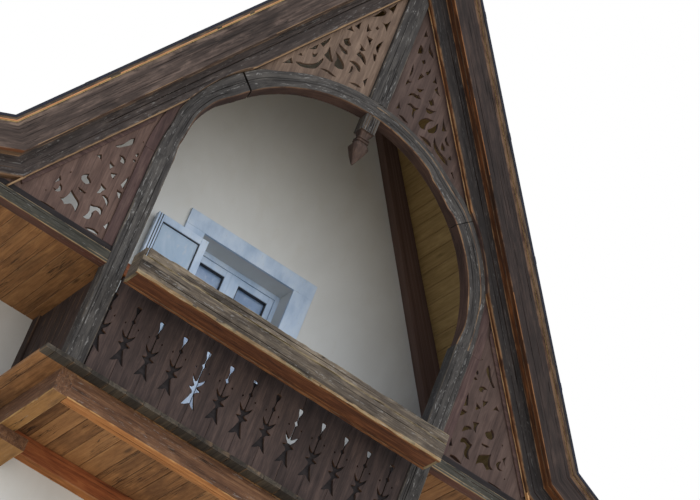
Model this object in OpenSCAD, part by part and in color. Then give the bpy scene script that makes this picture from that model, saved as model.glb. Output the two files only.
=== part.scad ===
// Gable end of a chalet with an arched timber screen and a balcony.
// Millimetres, +Z up, +Y into the house. The origin lies on the flat back face of the
// gable wall, in the middle of its lower edge. The front looks towards -Y.

/* [Gable wall] */
// Thickness of the plastered wall
wall_t = 300; // [200:10:500]
// Half width of the gable wall
wall_hw = 2700; // [2400:10:3200]
// Height of the balcony floor above the lower edge of the wall
floor_z = 870; // [700:10:1500]

/* [Roof] */
// Height of the roof apex above the balcony floor
gable_h = 5390; // [5100:10:5700]
// Steep roof pitch in degrees
pitch = 56.5; // [52:0.5:59]
// Pitch of the flared eaves in degrees
kick_pitch = 24.5; // [18:0.5:32]
// Distance of the bend in the roof from the middle
kink_x = 2640; // [2500:10:2900]
// Half span of the roof, to the eave tip
half_span = 3350; // [3250:10:3500]
// Roof overhang from the wall face to the verge
overhang = 1600; // [1400:10:1800]
// Thickness of the roof covering
cover_t = 20; // [15:1:40]
// Thickness of the roof boards
board_t = 30; // [20:1:45]
// Thickness of the metal at the verge and ridge
metal_t = 4; // [2:1:10]
// Distance the roof edge stands out beyond the barge board face
verge_out = 10; // [5:1:25]
// Width of the metal on top of the verge
verge_w = 180; // [120:10:250]
// Half width of the ridge cap
cap_w = 130; // [100:5:180]
// Thickness of the ridge cap
cap_t = 12; // [6:1:20]
// Width of the ridge purlin
purlin_w = 140; // [100:10:200]
// Height of the ridge purlin
purlin_h = 200; // [140:10:260]
// Height of the barge board, square to the slope
barge_h = 215; // [180:2:280]
// Thickness of the barge board
barge_t = 50; // [35:1:70]
// Visible height of the front rafter below the barge board
rafter_low_h = 160; // [130:1:200]
// Set back of the rafter face from the barge board face
rafter_in = 110; // [80:5:140]
// Set back of the rafter back face from the barge board face
rafter_back = 240; // [200:5:300]
// Height of the wall rafter below the roof boards
wall_rafter_h = 100; // [60:2:160]
// Thickness of the wall rafter
wall_rafter_t = 100; // [60:5:140]
// Extra height of the right wall rafter at its foot
wall_rafter_more = 150; // [0:10:200]

/* [Gable screen] */
// Height of the arch centre above the balcony floor
spring_h = 1900; // [1780:10:2020]
// Width of the arch timbers seen from the front
arch_w = 160; // [130:5:200]
// Depth of the arch timbers
arch_t = 100; // [80:5:140]
// Set back of the arch face from the barge board face
arch_in = 140; // [120:5:160]
// Bite of the rafter edge into the arch back
arch_bite = 10; // [2:1:20]
// Width of the king post
king_w = 170; // [140:5:200]
// Depth of the posts
post_t = 140; // [110:5:180]
// Set back of the fretwork face from the barge board face
fret_in = 180; // [160:5:200]
// Thickness of the fretwork boards
fret_t = 30; // [20:1:40]
// Cut off of the thin fretwork tips, from where arch and rafter touch
fret_tip = 130; // [100:5:180]
// Height of the tie beam underside above the balcony floor
tie_h = 830; // [770:10:910]
// Height of the tie beam
tie_d = 110; // [90:5:160]
// Height of the lip at the lower edge of the tie beam
lip_h = 28; // [20:1:40]
// Projection of the lip
lip_t = 12; // [6:1:20]

/* [Pendant] */
// Height of the pendant block
block_h = 150; // [120:5:180]
// Height of the tapering collar
collar_h = 90; // [60:5:120]
// Height of the neck ring
neck_h = 30; // [20:5:40]
// Height of the pointed drop
drop_h = 185; // [150:5:230]
// Width of the drop
drop_w = 160; // [130:5:180]

/* [Balcony] */
// Half width of the balcony floor
deck_hw = 1670; // [1600:10:1800]
// Set back of the floor edge from the barge board face
deck_in = 120; // [100:5:135]
// Thickness of the floor boards
deck_t = 35; // [24:1:45]
// Set back of the front floor beam from the barge board face
beam_in = 250; // [200:10:320]
// Height of the floor beams
beam_d = 200; // [150:10:260]
// Width of the floor beams
beam_t = 130; // [100:5:160]
// Distance of the outer faces of the side floor beams from the middle
side_beam_x = 1460; // [1420:10:1560]
// Height of the ledger on the wall
ledger_h = 165; // [120:5:195]
// Thickness of the ledger
ledger_t = 118; // [80:2:150]
// Width of the consoles under the side beams
console_w = 255; // [200:5:300]
// Height of the consoles
console_h = 105; // [80:5:150]
// Length of the consoles from the wall
console_l = 450; // [300:10:700]
// Set back of the balustrade boards from the rail face
rail_board_in = 20; // [10:1:40]
// Thickness of the balustrade boards
rail_board_t = 30; // [20:1:40]
// Thickness of the side panels
side_panel_t = 30; // [20:1:40]
// Set out of the side panels from the post inner face
side_panel_in = 43; // [35:1:70]
// Width of the side panel post at the wall, along the wall
panel_post_w = 70; // [50:5:100]
// Depth of the side panel post at the wall
panel_post_d = 130; // [80:5:200]
// Set out of this post beyond the boards of the side panel
panel_post_out = 20; // [10:1:30]
// Set in of the eave soffit above the tie beam underside
soffit_up = 75; // [40:5:90]
// Thickness of the eave soffit and fascia boards
soffit_t = 20; // [15:1:30]

/* [Flower box] */
// Half length of the flower box
box_hl = 1390; // [1300:10:1500]
// Width of the flower box
box_w = 244; // [200:2:300]
// Height of the flower box
box_h = 240; // [200:5:280]
// Wall thickness of the flower box
box_t = 25; // [18:1:32]
// Set out of the box back from the barge board face
box_out = 30; // [10:2:120]
// Height of the box underside above the balcony floor
box_z = 666; // [610:2:730]
// Distance of the outer brackets behind the flower box from the middle
bracket_x = 1000; // [700:10:1250]
// Width of these brackets
bracket_w = 60; // [40:2:80]
// Height of these brackets
bracket_h = 50; // [40:2:70]
// Height of the brackets above the box underside
bracket_z = 160; // [120:5:180]

/* [Door] */
// Width of the doorway
door_w = 890; // [800:10:960]
// Height of the doorway
door_h = 2405; // [2130:5:2450]
// Set back of the door frame from the wall face
frame_in = 200; // [150:5:220]
// Thickness of the door frame
frame_t = 50; // [40:1:60]
// Width of the door frame and stile at each side
frame_side = 90; // [70:5:110]
// Width of both stiles in the middle
frame_mid = 140; // [110:5:170]
// Height of the bottom rail
frame_foot = 160; // [100:5:200]
// Height of the top rail
frame_head = 110; // [80:5:140]
// Thickness of the door panes
pane_t = 16; // [10:1:20]
// Lap of the door panes behind the frame
pane_lap = 50; // [30:5:60]
// Width of the casing at each side of the doorway
casing_w = 180; // [150:5:210]
// Height of the casing over the doorway
casing_h = 145; // [120:5:180]
// Thickness of the casing
casing_t = 25; // [18:1:35]
// Width of the open outer leaf
leaf_w = 485; // [420:5:500]
// Thickness of the open outer leaf
leaf_t = 55; // [45:1:70]
// Reach of the open outer leaf over the edge of the doorway
leaf_lap = 40; // [20:1:50]
// Gap between the casing and the back of the open leaf
leaf_off = 15; // [10:1:30]
// Height of the door head above the open leaf
leaf_below = 95; // [60:5:160]
// Gap under the open leaf
leaf_gap = 20; // [10:1:40]
// Width of the stiles and the top rail of the open leaf
stile_w = 62; // [60:1:90]
// Height of the bottom rail of the open leaf
leaf_foot = 120; // [90:5:160]
// Thickness of the pane in the open leaf
leaf_pane_t = 20; // [12:1:26]
// Height of the hinge blocks
hinge_h = 80; // [60:5:120]
// Distance of the outer hinge blocks from the ends of the leaf
hinge_in = 250; // [150:10:400]

/* [Hidden] */
apex_z = floor_z + gable_h;
kink_z = apex_z - kink_x * tan(pitch);
front_y = -wall_t - overhang;
d_cov = cover_t;
d_brd = cover_t + board_t;
d_barge = d_brd + barge_h;
d_raft = d_barge + rafter_low_h;
d_wraft = d_brd + wall_rafter_h;
spring_z = floor_z + spring_h;
arch_ro = (height_at_middle(d_raft) - spring_z) * cos(pitch) + arch_bite;
arch_ri = arch_ro - arch_w;
tan_x = (arch_ro - arch_bite) * sin(pitch);
fret_x0 = tan_x - fret_tip;
fret_x1 = tan_x + fret_tip;
king_hw = king_w / 2;
tie_z0 = floor_z + tie_h;
tie_z1 = tie_z0 + tie_d;
soffit_z = min(tie_z0 + soffit_up, roof_z(d_brd, half_span) - soffit_t);
arch_y = front_y + arch_in;
post_back = arch_y + post_t;
raft_back = front_y + rafter_back;
deck_y = front_y + deck_in;
beam_y = front_y + beam_in;
deck_z0 = floor_z - deck_t;
beam_z0 = deck_z0 - beam_d;
beam_x = side_beam_x - beam_t;
panel_x = arch_ri + side_panel_in;
king_z0 = spring_z + sqrt(arch_ri * arch_ri - king_hw * king_hw);
leaf_z0 = floor_z + leaf_gap;
leaf_h = door_h - leaf_below - leaf_gap;
pane_w = (door_w - 2 * frame_side - frame_mid) / 2;
verge_y = front_y - verge_out;
purlin_z = roof_z(d_brd, purlin_w / 2) - purlin_h;
eave_z0 = min(tie_z0, soffit_z);
leaf_x = leaf_lap - door_w / 2 - leaf_w;
leaf_y = -wall_t - casing_t - leaf_off - leaf_t;
big = 20000;
$fn = 96;

function height_at_middle(d) = apex_z - d / cos(pitch);
function bend_x(d) = kink_x - d * (1 / cos(pitch) - 1 / cos(kick_pitch)) / (tan(pitch) - tan(kick_pitch));
function roof_z(d, x) = x <= bend_x(d)
    ? height_at_middle(d) - x * tan(pitch)
    : kink_z - (x - kink_x) * tan(kick_pitch) - d / cos(kick_pitch);
function roof_x(d, z) = z >= roof_z(d, bend_x(d))
    ? (height_at_middle(d) - z) / tan(pitch)
    : kink_x + (kink_z - d / cos(kick_pitch) - z) / tan(kick_pitch);

// A flat outline in the X-Z plane made solid between two depths
module between(y0, y1) {
    translate([0, y1, 0]) rotate([90, 0, 0]) linear_extrude(height = y1 - y0) children();
}
module left() { mirror([1, 0, 0]) children(); }

// A band that follows the right half of the roof between two depths below its top line
module band(d1, d2, x1) {
    polygon([[0, roof_z(d1, 0)], [bend_x(d1), roof_z(d1, bend_x(d1))], [x1, roof_z(d1, x1)],
        [x1, roof_z(d2, x1)], [bend_x(d2), roof_z(d2, bend_x(d2))], [0, roof_z(d2, 0)]]);
}

module covering_half() {
    color([0.30, 0.27, 0.25]) between(verge_y, 0) band(0, d_cov, half_span);
}
module roof_covering_left() { left() covering_half(); }
module roof_covering_right() { covering_half(); }

module ridge_cap() {
    color([0.16, 0.17, 0.20]) between(verge_y + verge_w, 0)
        polygon([[0, height_at_middle(-cap_t)], [cap_w, roof_z(-cap_t, cap_w)], [cap_w, roof_z(0, cap_w)],
            [0, height_at_middle(0)], [-cap_w, roof_z(0, cap_w)], [-cap_w, roof_z(-cap_t, cap_w)]]);
}

module flashing_half() {
    color([0.14, 0.15, 0.20]) union() {
        between(verge_y - metal_t, verge_y + verge_w) band(-metal_t, 0, half_span);
        between(verge_y - metal_t, verge_y) band(-metal_t, d_cov, half_span);
    }
}
module verge_flashing_left() { left() flashing_half(); }
module verge_flashing_right() { flashing_half(); }

module boards_half() {
    color([0.45, 0.30, 0.17]) between(verge_y + 2, 0) band(d_cov, d_brd, half_span);
}
module roof_boards_left() { left() boards_half(); }
module roof_boards_right() { boards_half(); }

module barge_half() {
    color([0.33, 0.27, 0.22]) between(front_y, front_y + barge_t) band(d_brd, d_barge, half_span);
}
module barge_board_left() { left() barge_half(); }
module barge_board_right() { barge_half(); }

module front_rafter_half() {
    color([0.30, 0.25, 0.21]) intersection() {
        union() {
            between(front_y + barge_t, raft_back) band(d_brd, d_barge, half_span);
            between(front_y + rafter_in, raft_back) band(d_barge, d_raft, half_span);
        }
        translate([-10, front_y - 100, tie_z0]) cube([half_span + 100, overhang, big]);
    }
}
module front_rafter_left() { left() front_rafter_half(); }
module front_rafter_right() { front_rafter_half(); }

module wall_rafter_half(more) {
    d = d_wraft + more;
    color([0.28, 0.22, 0.20]) between(-wall_t - wall_rafter_t, -wall_t)
        polygon([[0, roof_z(d_brd, 0)], [bend_x(d_brd), roof_z(d_brd, bend_x(d_brd))],
            [wall_hw, roof_z(d_brd, wall_hw)], [wall_hw, roof_z(d, wall_hw)],
            [bend_x(d), roof_z(d, bend_x(d))], [0, roof_z(d_wraft, 0)]]);
}
module wall_rafter_left() { left() wall_rafter_half(0); }
module wall_rafter_right() { wall_rafter_half(wall_rafter_more); }

module ridge_purlin() {
    color([0.38, 0.28, 0.19]) between(raft_back, -wall_t - wall_rafter_t)
        polygon([[-purlin_w / 2, purlin_z], [purlin_w / 2, purlin_z],
            [purlin_w / 2, purlin_z + purlin_h], [0, roof_z(d_brd, 0)],
            [-purlin_w / 2, purlin_z + purlin_h]]);
}

module king_post() {
    color([0.35, 0.33, 0.31]) between(arch_y, arch_y + arch_t)
        polygon([[-king_hw, king_z0], [king_hw, king_z0], [king_hw, roof_z(d_raft, king_hw)],
            [0, roof_z(d_raft, 0)], [-king_hw, roof_z(d_raft, king_hw)]]);
}

module pendant_outline() {
    polygon([[-king_hw, 0], [-king_hw, -block_h], [-drop_w * 0.31, -block_h - collar_h],
        [-drop_w * 0.38, -block_h - collar_h], [-drop_w * 0.38, -block_h - collar_h - neck_h],
        [-drop_w / 2, -block_h - collar_h - neck_h - drop_h * 0.12],
        [-drop_w * 0.05, -block_h - collar_h - neck_h - drop_h],
        [drop_w * 0.05, -block_h - collar_h - neck_h - drop_h],
        [drop_w / 2, -block_h - collar_h - neck_h - drop_h * 0.12],
        [drop_w * 0.38, -block_h - collar_h - neck_h], [drop_w * 0.38, -block_h - collar_h],
        [drop_w * 0.31, -block_h - collar_h], [king_hw, -block_h], [king_hw, 0]]);
}
module pendant() {
    color([0.33, 0.29, 0.26]) translate([0, arch_y + arch_t / 2, king_z0]) intersection() {
        between(-king_hw, king_hw) pendant_outline();
        rotate([0, 0, 90]) between(-king_hw, king_hw) pendant_outline();
    }
}

module arch_half() {
    color([0.36, 0.34, 0.32]) between(arch_y, arch_y + arch_t) intersection() {
        translate([0, spring_z]) difference() {
            circle(r = arch_ro, $fn = 360);
            circle(r = arch_ri, $fn = 360);
        }
        polygon([[king_hw, spring_z], [arch_ro + 1, spring_z], [arch_ro + 1, roof_z(d_raft, arch_ro + 1)],
            [king_hw, roof_z(d_raft, king_hw)]]);
    }
}
module arch_left() { left() arch_half(); }
module arch_right() { arch_half(); }

module post_half() {
    color([0.36, 0.33, 0.30]) translate([arch_ri, arch_y, floor_z])
        cube([arch_w, post_t, spring_z - floor_z]);
}
module post_left() { left() post_half(); }
module post_right() { post_half(); }

module tie_outline(h) {
    polygon([[arch_ro, tie_z0], [roof_x(d_raft, tie_z0), tie_z0],
        [roof_x(d_raft, tie_z0 + h), tie_z0 + h], [arch_ro, tie_z0 + h]]);
}
module tie_half() {
    color([0.34, 0.29, 0.25]) union() {
        between(arch_y, raft_back) tie_outline(tie_d);
        between(arch_y - lip_t, raft_back) tie_outline(lip_h);
    }
}
module tie_beam_left() { left() tie_half(); }
module tie_beam_right() { tie_half(); }

module fret_upper_half() {
    color([0.43, 0.35, 0.31]) between(front_y + fret_in, front_y + fret_in + fret_t) difference() {
        polygon([[king_hw, spring_z], [fret_x0, spring_z], [fret_x0, roof_z(d_raft, fret_x0)],
            [king_hw, roof_z(d_raft, king_hw)]]);
        translate([0, spring_z]) circle(r = arch_ro, $fn = 360);
    }
}
module fretwork_upper_left() { left() fret_upper_half(); }
module fretwork_upper_right() { fret_upper_half(); }

module fret_lower_half() {
    color([0.38, 0.26, 0.21]) between(front_y + fret_in, front_y + fret_in + fret_t) difference() {
        polygon([[fret_x1, roof_z(d_raft, fret_x1)], [bend_x(d_raft), roof_z(d_raft, bend_x(d_raft))],
            [roof_x(d_raft, tie_z1), tie_z1], [arch_ro, tie_z1], [arch_ro, spring_z],
            [fret_x1, spring_z]]);
        translate([0, spring_z]) circle(r = arch_ro, $fn = 360);
    }
}
module fretwork_lower_left() { left() fret_lower_half(); }
module fretwork_lower_right() { fret_lower_half(); }

module eave_half() {
    color([0.42, 0.30, 0.18]) union() {
        translate([0, 0, soffit_z]) linear_extrude(height = soffit_t)
            polygon([[panel_x, post_back], [arch_ro, post_back], [arch_ro, raft_back],
                [half_span, raft_back], [half_span, 0], [wall_hw, 0], [wall_hw, -wall_t],
                [panel_x, -wall_t]]);
        between(raft_back, 0) polygon([[half_span - soffit_t, eave_z0], [half_span, eave_z0],
            [half_span, roof_z(d_brd, half_span)],
            [half_span - soffit_t, roof_z(d_brd, half_span - soffit_t)]]);
    }
}
module eave_box_left() { left() eave_half(); }
module eave_box_right() { eave_half(); }

module floor_beam_front() {
    color([0.40, 0.24, 0.17]) translate([-beam_x, beam_y, beam_z0]) cube([2 * beam_x, beam_t, beam_d]);
}

module side_beam_half() {
    color([0.36, 0.24, 0.18]) union() {
        translate([beam_x, beam_y, beam_z0]) cube([beam_t, -wall_t - beam_y, beam_d]);
        translate([side_beam_x - console_w, -wall_t - console_l, beam_z0 - console_h])
            cube([console_w, console_l, console_h]);
    }
}
module side_beam_left() { left() side_beam_half(); }
module side_beam_right() { side_beam_half(); }

module floor_boards() {
    color([0.45, 0.34, 0.20]) translate([-deck_hw, deck_y, deck_z0])
        cube([2 * deck_hw, -wall_t - deck_y, deck_t]);
}

module wall_ledger() {
    color([0.44, 0.26, 0.16]) translate([-beam_x, -wall_t - ledger_t, deck_z0 - ledger_h])
        cube([2 * beam_x, ledger_t, ledger_h]);
}

module top_rail() {
    color([0.46, 0.26, 0.15]) translate([-arch_ri, arch_y, tie_z0])
        cube([2 * arch_ri, arch_t, tie_d]);
}

module balustrade() {
    color([0.25, 0.19, 0.18]) translate([-arch_ri, arch_y + rail_board_in, floor_z])
        cube([2 * arch_ri, rail_board_t, tie_z0 - floor_z]);
}

module side_panel_half() {
    color([0.35, 0.26, 0.20]) union() {
        translate([panel_x, post_back, floor_z])
            cube([side_panel_t, -wall_t - post_back, soffit_z - floor_z]);
        translate([panel_x + side_panel_t + panel_post_out - panel_post_w, -wall_t - panel_post_d, floor_z])
            cube([panel_post_w, panel_post_d, soffit_z - floor_z]);
    }
}
module side_panel_left() { left() side_panel_half(); }
module side_panel_right() { side_panel_half(); }

module flower_box() {
    bz = floor_z + box_z;
    by = front_y - box_out;
    color([0.52, 0.48, 0.42]) union() {
        difference() {
            translate([-box_hl, by - box_w, bz]) cube([2 * box_hl, box_w, box_h]);
            translate([-box_hl + box_t, by - box_w + box_t, bz + box_t])
                cube([2 * (box_hl - box_t), box_w - 2 * box_t, box_h]);
        }
        for (x = [-bracket_x, 0, bracket_x])
            translate([x - bracket_w / 2, by, bz + bracket_z]) cube([bracket_w, arch_y - by, bracket_h]);
    }
}

module gable_wall() {
    color([0.86, 0.84, 0.78]) between(-wall_t, 0) difference() {
        polygon([[-wall_hw, 0], [wall_hw, 0], [wall_hw, roof_z(d_brd, wall_hw)],
            [bend_x(d_brd), roof_z(d_brd, bend_x(d_brd))], [0, roof_z(d_brd, 0)],
            [-bend_x(d_brd), roof_z(d_brd, bend_x(d_brd))], [-wall_hw, roof_z(d_brd, wall_hw)]]);
        translate([-door_w / 2, floor_z]) square([door_w, door_h]);
    }
}

module door_frame() {
    color([0.90, 0.91, 0.93]) between(-wall_t + frame_in, -wall_t + frame_in + frame_t) difference() {
        translate([-door_w / 2, floor_z]) square([door_w, door_h]);
        for (x = [-frame_mid / 2 - pane_w, frame_mid / 2]) translate([x, floor_z + frame_foot])
            square([pane_w, door_h - frame_foot - frame_head]);
    }
}

module door_glass() {
    color([0.60, 0.68, 0.72]) translate([-door_w / 2 + frame_side - pane_lap, -wall_t + frame_in + frame_t,
        floor_z + frame_foot - pane_lap])
        cube([door_w - 2 * frame_side + 2 * pane_lap, pane_t,
            door_h - frame_foot - frame_head + 2 * pane_lap]);
}

module door_casing() {
    color([0.88, 0.90, 0.93]) between(-wall_t - casing_t, -wall_t) difference() {
        translate([-door_w / 2 - casing_w, floor_z]) square([door_w + 2 * casing_w, door_h + casing_h]);
        translate([-door_w / 2, floor_z - 1]) square([door_w, door_h + 1]);
    }
}

module open_leaf() {
    color([0.88, 0.90, 0.94]) union() {
        translate([leaf_x, leaf_y, leaf_z0]) difference() {
            cube([leaf_w, leaf_t, leaf_h]);
            translate([stile_w, -1, leaf_foot])
                cube([leaf_w - 2 * stile_w, leaf_t + 2, leaf_h - leaf_foot - stile_w]);
        }
        for (z = [hinge_in, leaf_h / 2, leaf_h - hinge_in])
            translate([leaf_x + leaf_w - stile_w, leaf_y + leaf_t, leaf_z0 + z - hinge_h / 2])
            cube([stile_w - leaf_lap, leaf_off, hinge_h]);
    }
}

module open_leaf_glass() {
    color([0.62, 0.70, 0.76])
        translate([leaf_x + stile_w, leaf_y + (leaf_t - leaf_pane_t) / 2, leaf_z0 + leaf_foot])
        cube([leaf_w - 2 * stile_w, leaf_pane_t, leaf_h - leaf_foot - stile_w]);
}

roof_covering_left();
roof_covering_right();
ridge_cap();
verge_flashing_left();
verge_flashing_right();
roof_boards_left();
roof_boards_right();
barge_board_left();
barge_board_right();
front_rafter_left();
front_rafter_right();
wall_rafter_left();
wall_rafter_right();
ridge_purlin();
king_post();
pendant();
arch_left();
arch_right();
post_left();
post_right();
tie_beam_left();
tie_beam_right();
fretwork_upper_left();
fretwork_upper_right();
fretwork_lower_left();
fretwork_lower_right();
eave_box_left();
eave_box_right();
floor_beam_front();
side_beam_left();
side_beam_right();
floor_boards();
wall_ledger();
top_rail();
balustrade();
side_panel_left();
side_panel_right();
flower_box();
gable_wall();
door_frame();
door_glass();
door_casing();
open_leaf();
open_leaf_glass();
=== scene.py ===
import bpy
import math
import numpy as np
from mathutils import Matrix


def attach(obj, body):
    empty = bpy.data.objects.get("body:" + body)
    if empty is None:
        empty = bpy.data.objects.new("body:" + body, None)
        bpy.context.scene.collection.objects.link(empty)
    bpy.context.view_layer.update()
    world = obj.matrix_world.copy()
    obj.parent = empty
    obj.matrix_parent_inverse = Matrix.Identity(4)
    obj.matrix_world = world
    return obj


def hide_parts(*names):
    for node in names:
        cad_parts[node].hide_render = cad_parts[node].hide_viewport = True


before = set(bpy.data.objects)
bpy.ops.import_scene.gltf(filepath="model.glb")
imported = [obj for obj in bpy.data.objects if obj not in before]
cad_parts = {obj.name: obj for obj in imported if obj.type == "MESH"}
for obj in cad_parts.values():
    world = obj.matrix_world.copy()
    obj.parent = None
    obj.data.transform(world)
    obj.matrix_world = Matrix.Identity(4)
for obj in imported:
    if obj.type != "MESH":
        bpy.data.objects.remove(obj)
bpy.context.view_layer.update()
scene = bpy.context.scene
rad = math.radians

# Sizes in metres: x along the wall, y into the house, z up
PITCH = rad(56.5)                # the main slope
KICK = rad(24.5)                 # the flared foot of the roof
APEX = 6.260                     # top of the covering at the ridge
BEND_X = 2.640                   # the covering bends here
EAVE_X = 3.350                   # and ends here
BEND_Z = APEX - BEND_X * math.tan(PITCH)
UPPER = BEND_X / math.cos(PITCH)
LOWER = (EAVE_X - BEND_X) / math.cos(KICK)
SLOPE = UPPER + LOWER
COVER = .020                     # depths of undersides below the top of the roof, square to the slope
BOARDS = .050
BARGE = .265
RAFTER = .425
WALL = -.300                     # front of the gable wall, whose back is at 0
WALL_HALF = 2.700
FLOOR = .870
FRONT = -1.900                   # front of the barge boards
SCREEN = -1.760                  # front of the arch, posts and tie beams
SCREEN_BACK = -1.660
POST_BACK = -1.620
SPRING = 2.770                   # the arch's centre
ARCH_IN = 1.3513
ARCH_OUT = 1.5113
ARCH_WIDE = ARCH_OUT + .030      # the arch's outer radius where it runs across the rafter
FOOT_R = ARCH_OUT - .010         # the rafter's lower side is this far from the arch's centre
FOOT_X = FOOT_R * math.sin(PITCH)
KING_HALF = .085
PANEL_IN = 1.3943                # inner face of the side panels
TIE_LOW = 1.700
TIE_TOP = 1.810
SOFFIT = 1.775
SIDES = (("left", -1), ("right", 1))

# The camera, fitted to the photograph: its right, up and forward directions, and its place
RIGHT = (0.80252, -0.50443, 0.31859)
UP = (-0.51770, -0.32335, 0.79211)
AHEAD = (0.29655, 0.80062, 0.52063)
CAMERA_AT = (-7.344, -22.224, -10.344)
FOCAL_LENGTH = 169.71            # mm on a sensor 36 mm wide


def add_camera():
    cam = bpy.data.objects.new("camera", bpy.data.cameras.new("camera"))
    scene.collection.objects.link(cam)
    rows = [[RIGHT[i], UP[i], -AHEAD[i], CAMERA_AT[i]] for i in range(3)]
    cam.matrix_world = Matrix(rows + [[0, 0, 0, 1]])
    cam.data.lens = FOCAL_LENGTH
    cam.data.sensor_width = 36
    cam.data.sensor_fit = "HORIZONTAL"
    cam.data.clip_end = 300
    scene.camera = cam
    scene.view_settings.view_transform = "Standard"


# The roof's lines
BEND_SHIFT = (1 / math.cos(PITCH) - 1 / math.cos(KICK)) / (math.tan(PITCH) - math.tan(KICK))


def bend(depth):
    """x of the roof's bend at a depth"""
    return BEND_X - depth * BEND_SHIFT


def kick_z(depth, x):
    return BEND_Z - (x - BEND_X) * math.tan(KICK) - depth / math.cos(KICK)


def kick_x(depth, z):
    return BEND_X + (BEND_Z - depth / math.cos(KICK) - z) / math.tan(KICK)


def steep_z(depth, x):
    return APEX - depth / math.cos(PITCH) - x * math.tan(PITCH)


def roof(side, s, depth):
    """x and z at a depth, s metres down the slope from the ridge"""
    s, depth = np.asarray(s, float), np.asarray(depth, float)
    knee = bend(depth)
    x = np.where(s < UPPER, s / UPPER * knee, knee + (s - UPPER) / LOWER * (EAVE_X - knee))
    z = np.where(s < UPPER, steep_z(depth, x), kick_z(depth, x))
    return side * x, z


def beside_arch(s, depth):
    """depth of a point in the front rafter, whose lower side makes room for the arch"""
    uncut = .36
    off_foot = (s / UPPER * bend(RAFTER) - FOOT_X) / math.cos(PITCH)
    cut = np.maximum(0, np.sqrt(np.maximum(0, ARCH_WIDE ** 2 - off_foot ** 2)) - FOOT_R)
    return np.where(depth > uncut, uncut + (depth - uncut) * (1 - cut / (RAFTER - uncut)), depth)


def above_tie(s, depth):
    """depth of a point in the front rafter, whose foot is cut level with the tie beam's underside"""
    uncut = .10
    t = np.clip((s - UPPER) / LOWER, 0, 1)
    drop = BEND_Z - TIE_LOW - t * (EAVE_X - BEND_X) * math.tan(KICK)
    lowest = drop / (1 / math.cos(KICK) - BEND_SHIFT * (1 - t) * math.tan(KICK))
    share = np.minimum(1, (lowest - uncut) / (RAFTER - uncut))
    return np.where(depth > uncut, uncut + (depth - uncut) * share, depth)


def wave(s, seed, step):
    """smooth noise between -1 and 1 along s"""
    values = np.random.default_rng(abs(int(seed)) + 7).uniform(-1, 1, 256)
    t = np.asarray(s, float) / step + 60
    i = np.floor(t).astype(int)
    f = t - i
    f = f * f * (3 - 2 * f)
    return values[i % 256] * (1 - f) + values[(i + 1) % 256] * f


# Mesh building
class Piece:
    """One mesh that stands for a CAD node. Each point keeps its place in its plank, for the grain, and
    its look: the plank's tint, a worn edge that the wood materials also lighten as a painted highlight,
    and a crack. Its usual material is mat, or else the one with the slot's name"""

    def __init__(self, name, *cad, slot, mat=None):
        self.name, self.cad, self.slot, self.mat = name, cad, slot, mat or slot
        self.points, self.wood, self.look, self.faces, self.face_mats = [], [], [], [], []
        self.mats = [self.mat]
        self.count = 0

    def mat_index(self, mat):
        mat = mat or self.mat
        if mat not in self.mats:
            self.mats.append(mat)
        return self.mats.index(mat)

    def add(self, points, faces, wood, look, mat=None):
        points = np.asarray(points, float)
        volume = 0.
        for face in faces:
            for b, c in zip(face[1:], face[2:]):
                volume += np.dot(points[face[0]], np.cross(points[b], points[c]))
        if volume < 0:
            faces = [tuple(reversed(face)) for face in faces]
        self.points.append(points)
        self.wood.append(np.asarray(wood, float))
        self.look.append(np.asarray(look, float))
        self.faces += [tuple(i + self.count for i in face) for face in faces]
        mats = mat if isinstance(mat, list) else [mat] * len(faces)
        self.face_mats += [self.mat_index(m) for m in mats]
        self.count += len(points)

    def done(self):
        me = bpy.data.meshes.new(self.name)
        me.from_pydata(np.concatenate(self.points).tolist(), [], self.faces)
        for name, values in (("wood", self.wood), ("look", self.look)):
            attribute = me.attributes.new(name, "FLOAT_VECTOR", "POINT")
            attribute.data.foreach_set("vector", np.concatenate(values).astype(np.float32).ravel())
        for mat in self.mats:
            me.materials.append(MATERIALS[mat])
        me.polygons.foreach_set("material_index", self.face_mats)
        me.polygons.foreach_set("use_smooth", [True] * len(me.polygons))
        me.update()
        me.set_sharp_from_angle(angle=rad(32))
        ob = bpy.data.objects.new(self.name, me)
        scene.collection.objects.link(ob)
        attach(ob, "root")
        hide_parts(*self.cad)


def box(v0, v1, w0, w1):
    return [(v0, w0), (v1, w0), (v1, w1), (v0, w1)]


def on_side(side, a, b):
    """two places on the left or the right, the smaller x first"""
    return sorted((side * a, side * b))


# The columns of a profile: place, worn edge (lightened as wear and as a painted highlight), crack,
# direction inwards, side, direction along the side
V, W, EDGE, CRACK, IN_V, IN_W, SIDE, ALONG_V, ALONG_W = range(9)


def profile(corners, bevel=.004, step=.05, cracks=()):
    """A closed outline with bevelled corners, given anticlockwise, and its long cracks:
    (side, place along the side, width, depth, start, end, and the share that is open)"""
    rows = []
    for i, a in enumerate(corners):
        a, b = np.array(a, float), np.array(corners[(i + 1) % len(corners)], float)
        length = np.linalg.norm(b - a)
        along = (b - a) / length
        cut = min(bevel, length * .3)
        stops = [(cut, 1, -1), (length - cut, 1, -1)]
        if length > 4 * cut + .012:
            stops += [(cut + .005, 0, -1), (length - cut - .005, 0, -1)]
        mine = [(k, crack[1], crack[2] / 2) for k, crack in enumerate(cracks) if crack[0] == i]
        for k, middle, half in mine:
            stops += [(middle - half, 0, -1), (middle, 0, k), (middle + half, 0, -1)]
        count = int(length / step)
        for p in [length * j / count for j in range(1, count)]:
            clear = all(abs(p - middle) > half + .008 for k, middle, half in mine)
            if clear and cut + .01 < p < length - cut - .01:
                stops.append((p, 0, -1))
        for p, edge, k in sorted(stops):
            rows.append((*(a + along * p), edge, k, -along[1], along[0], i, *along))
    return np.array(rows), cracks


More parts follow.
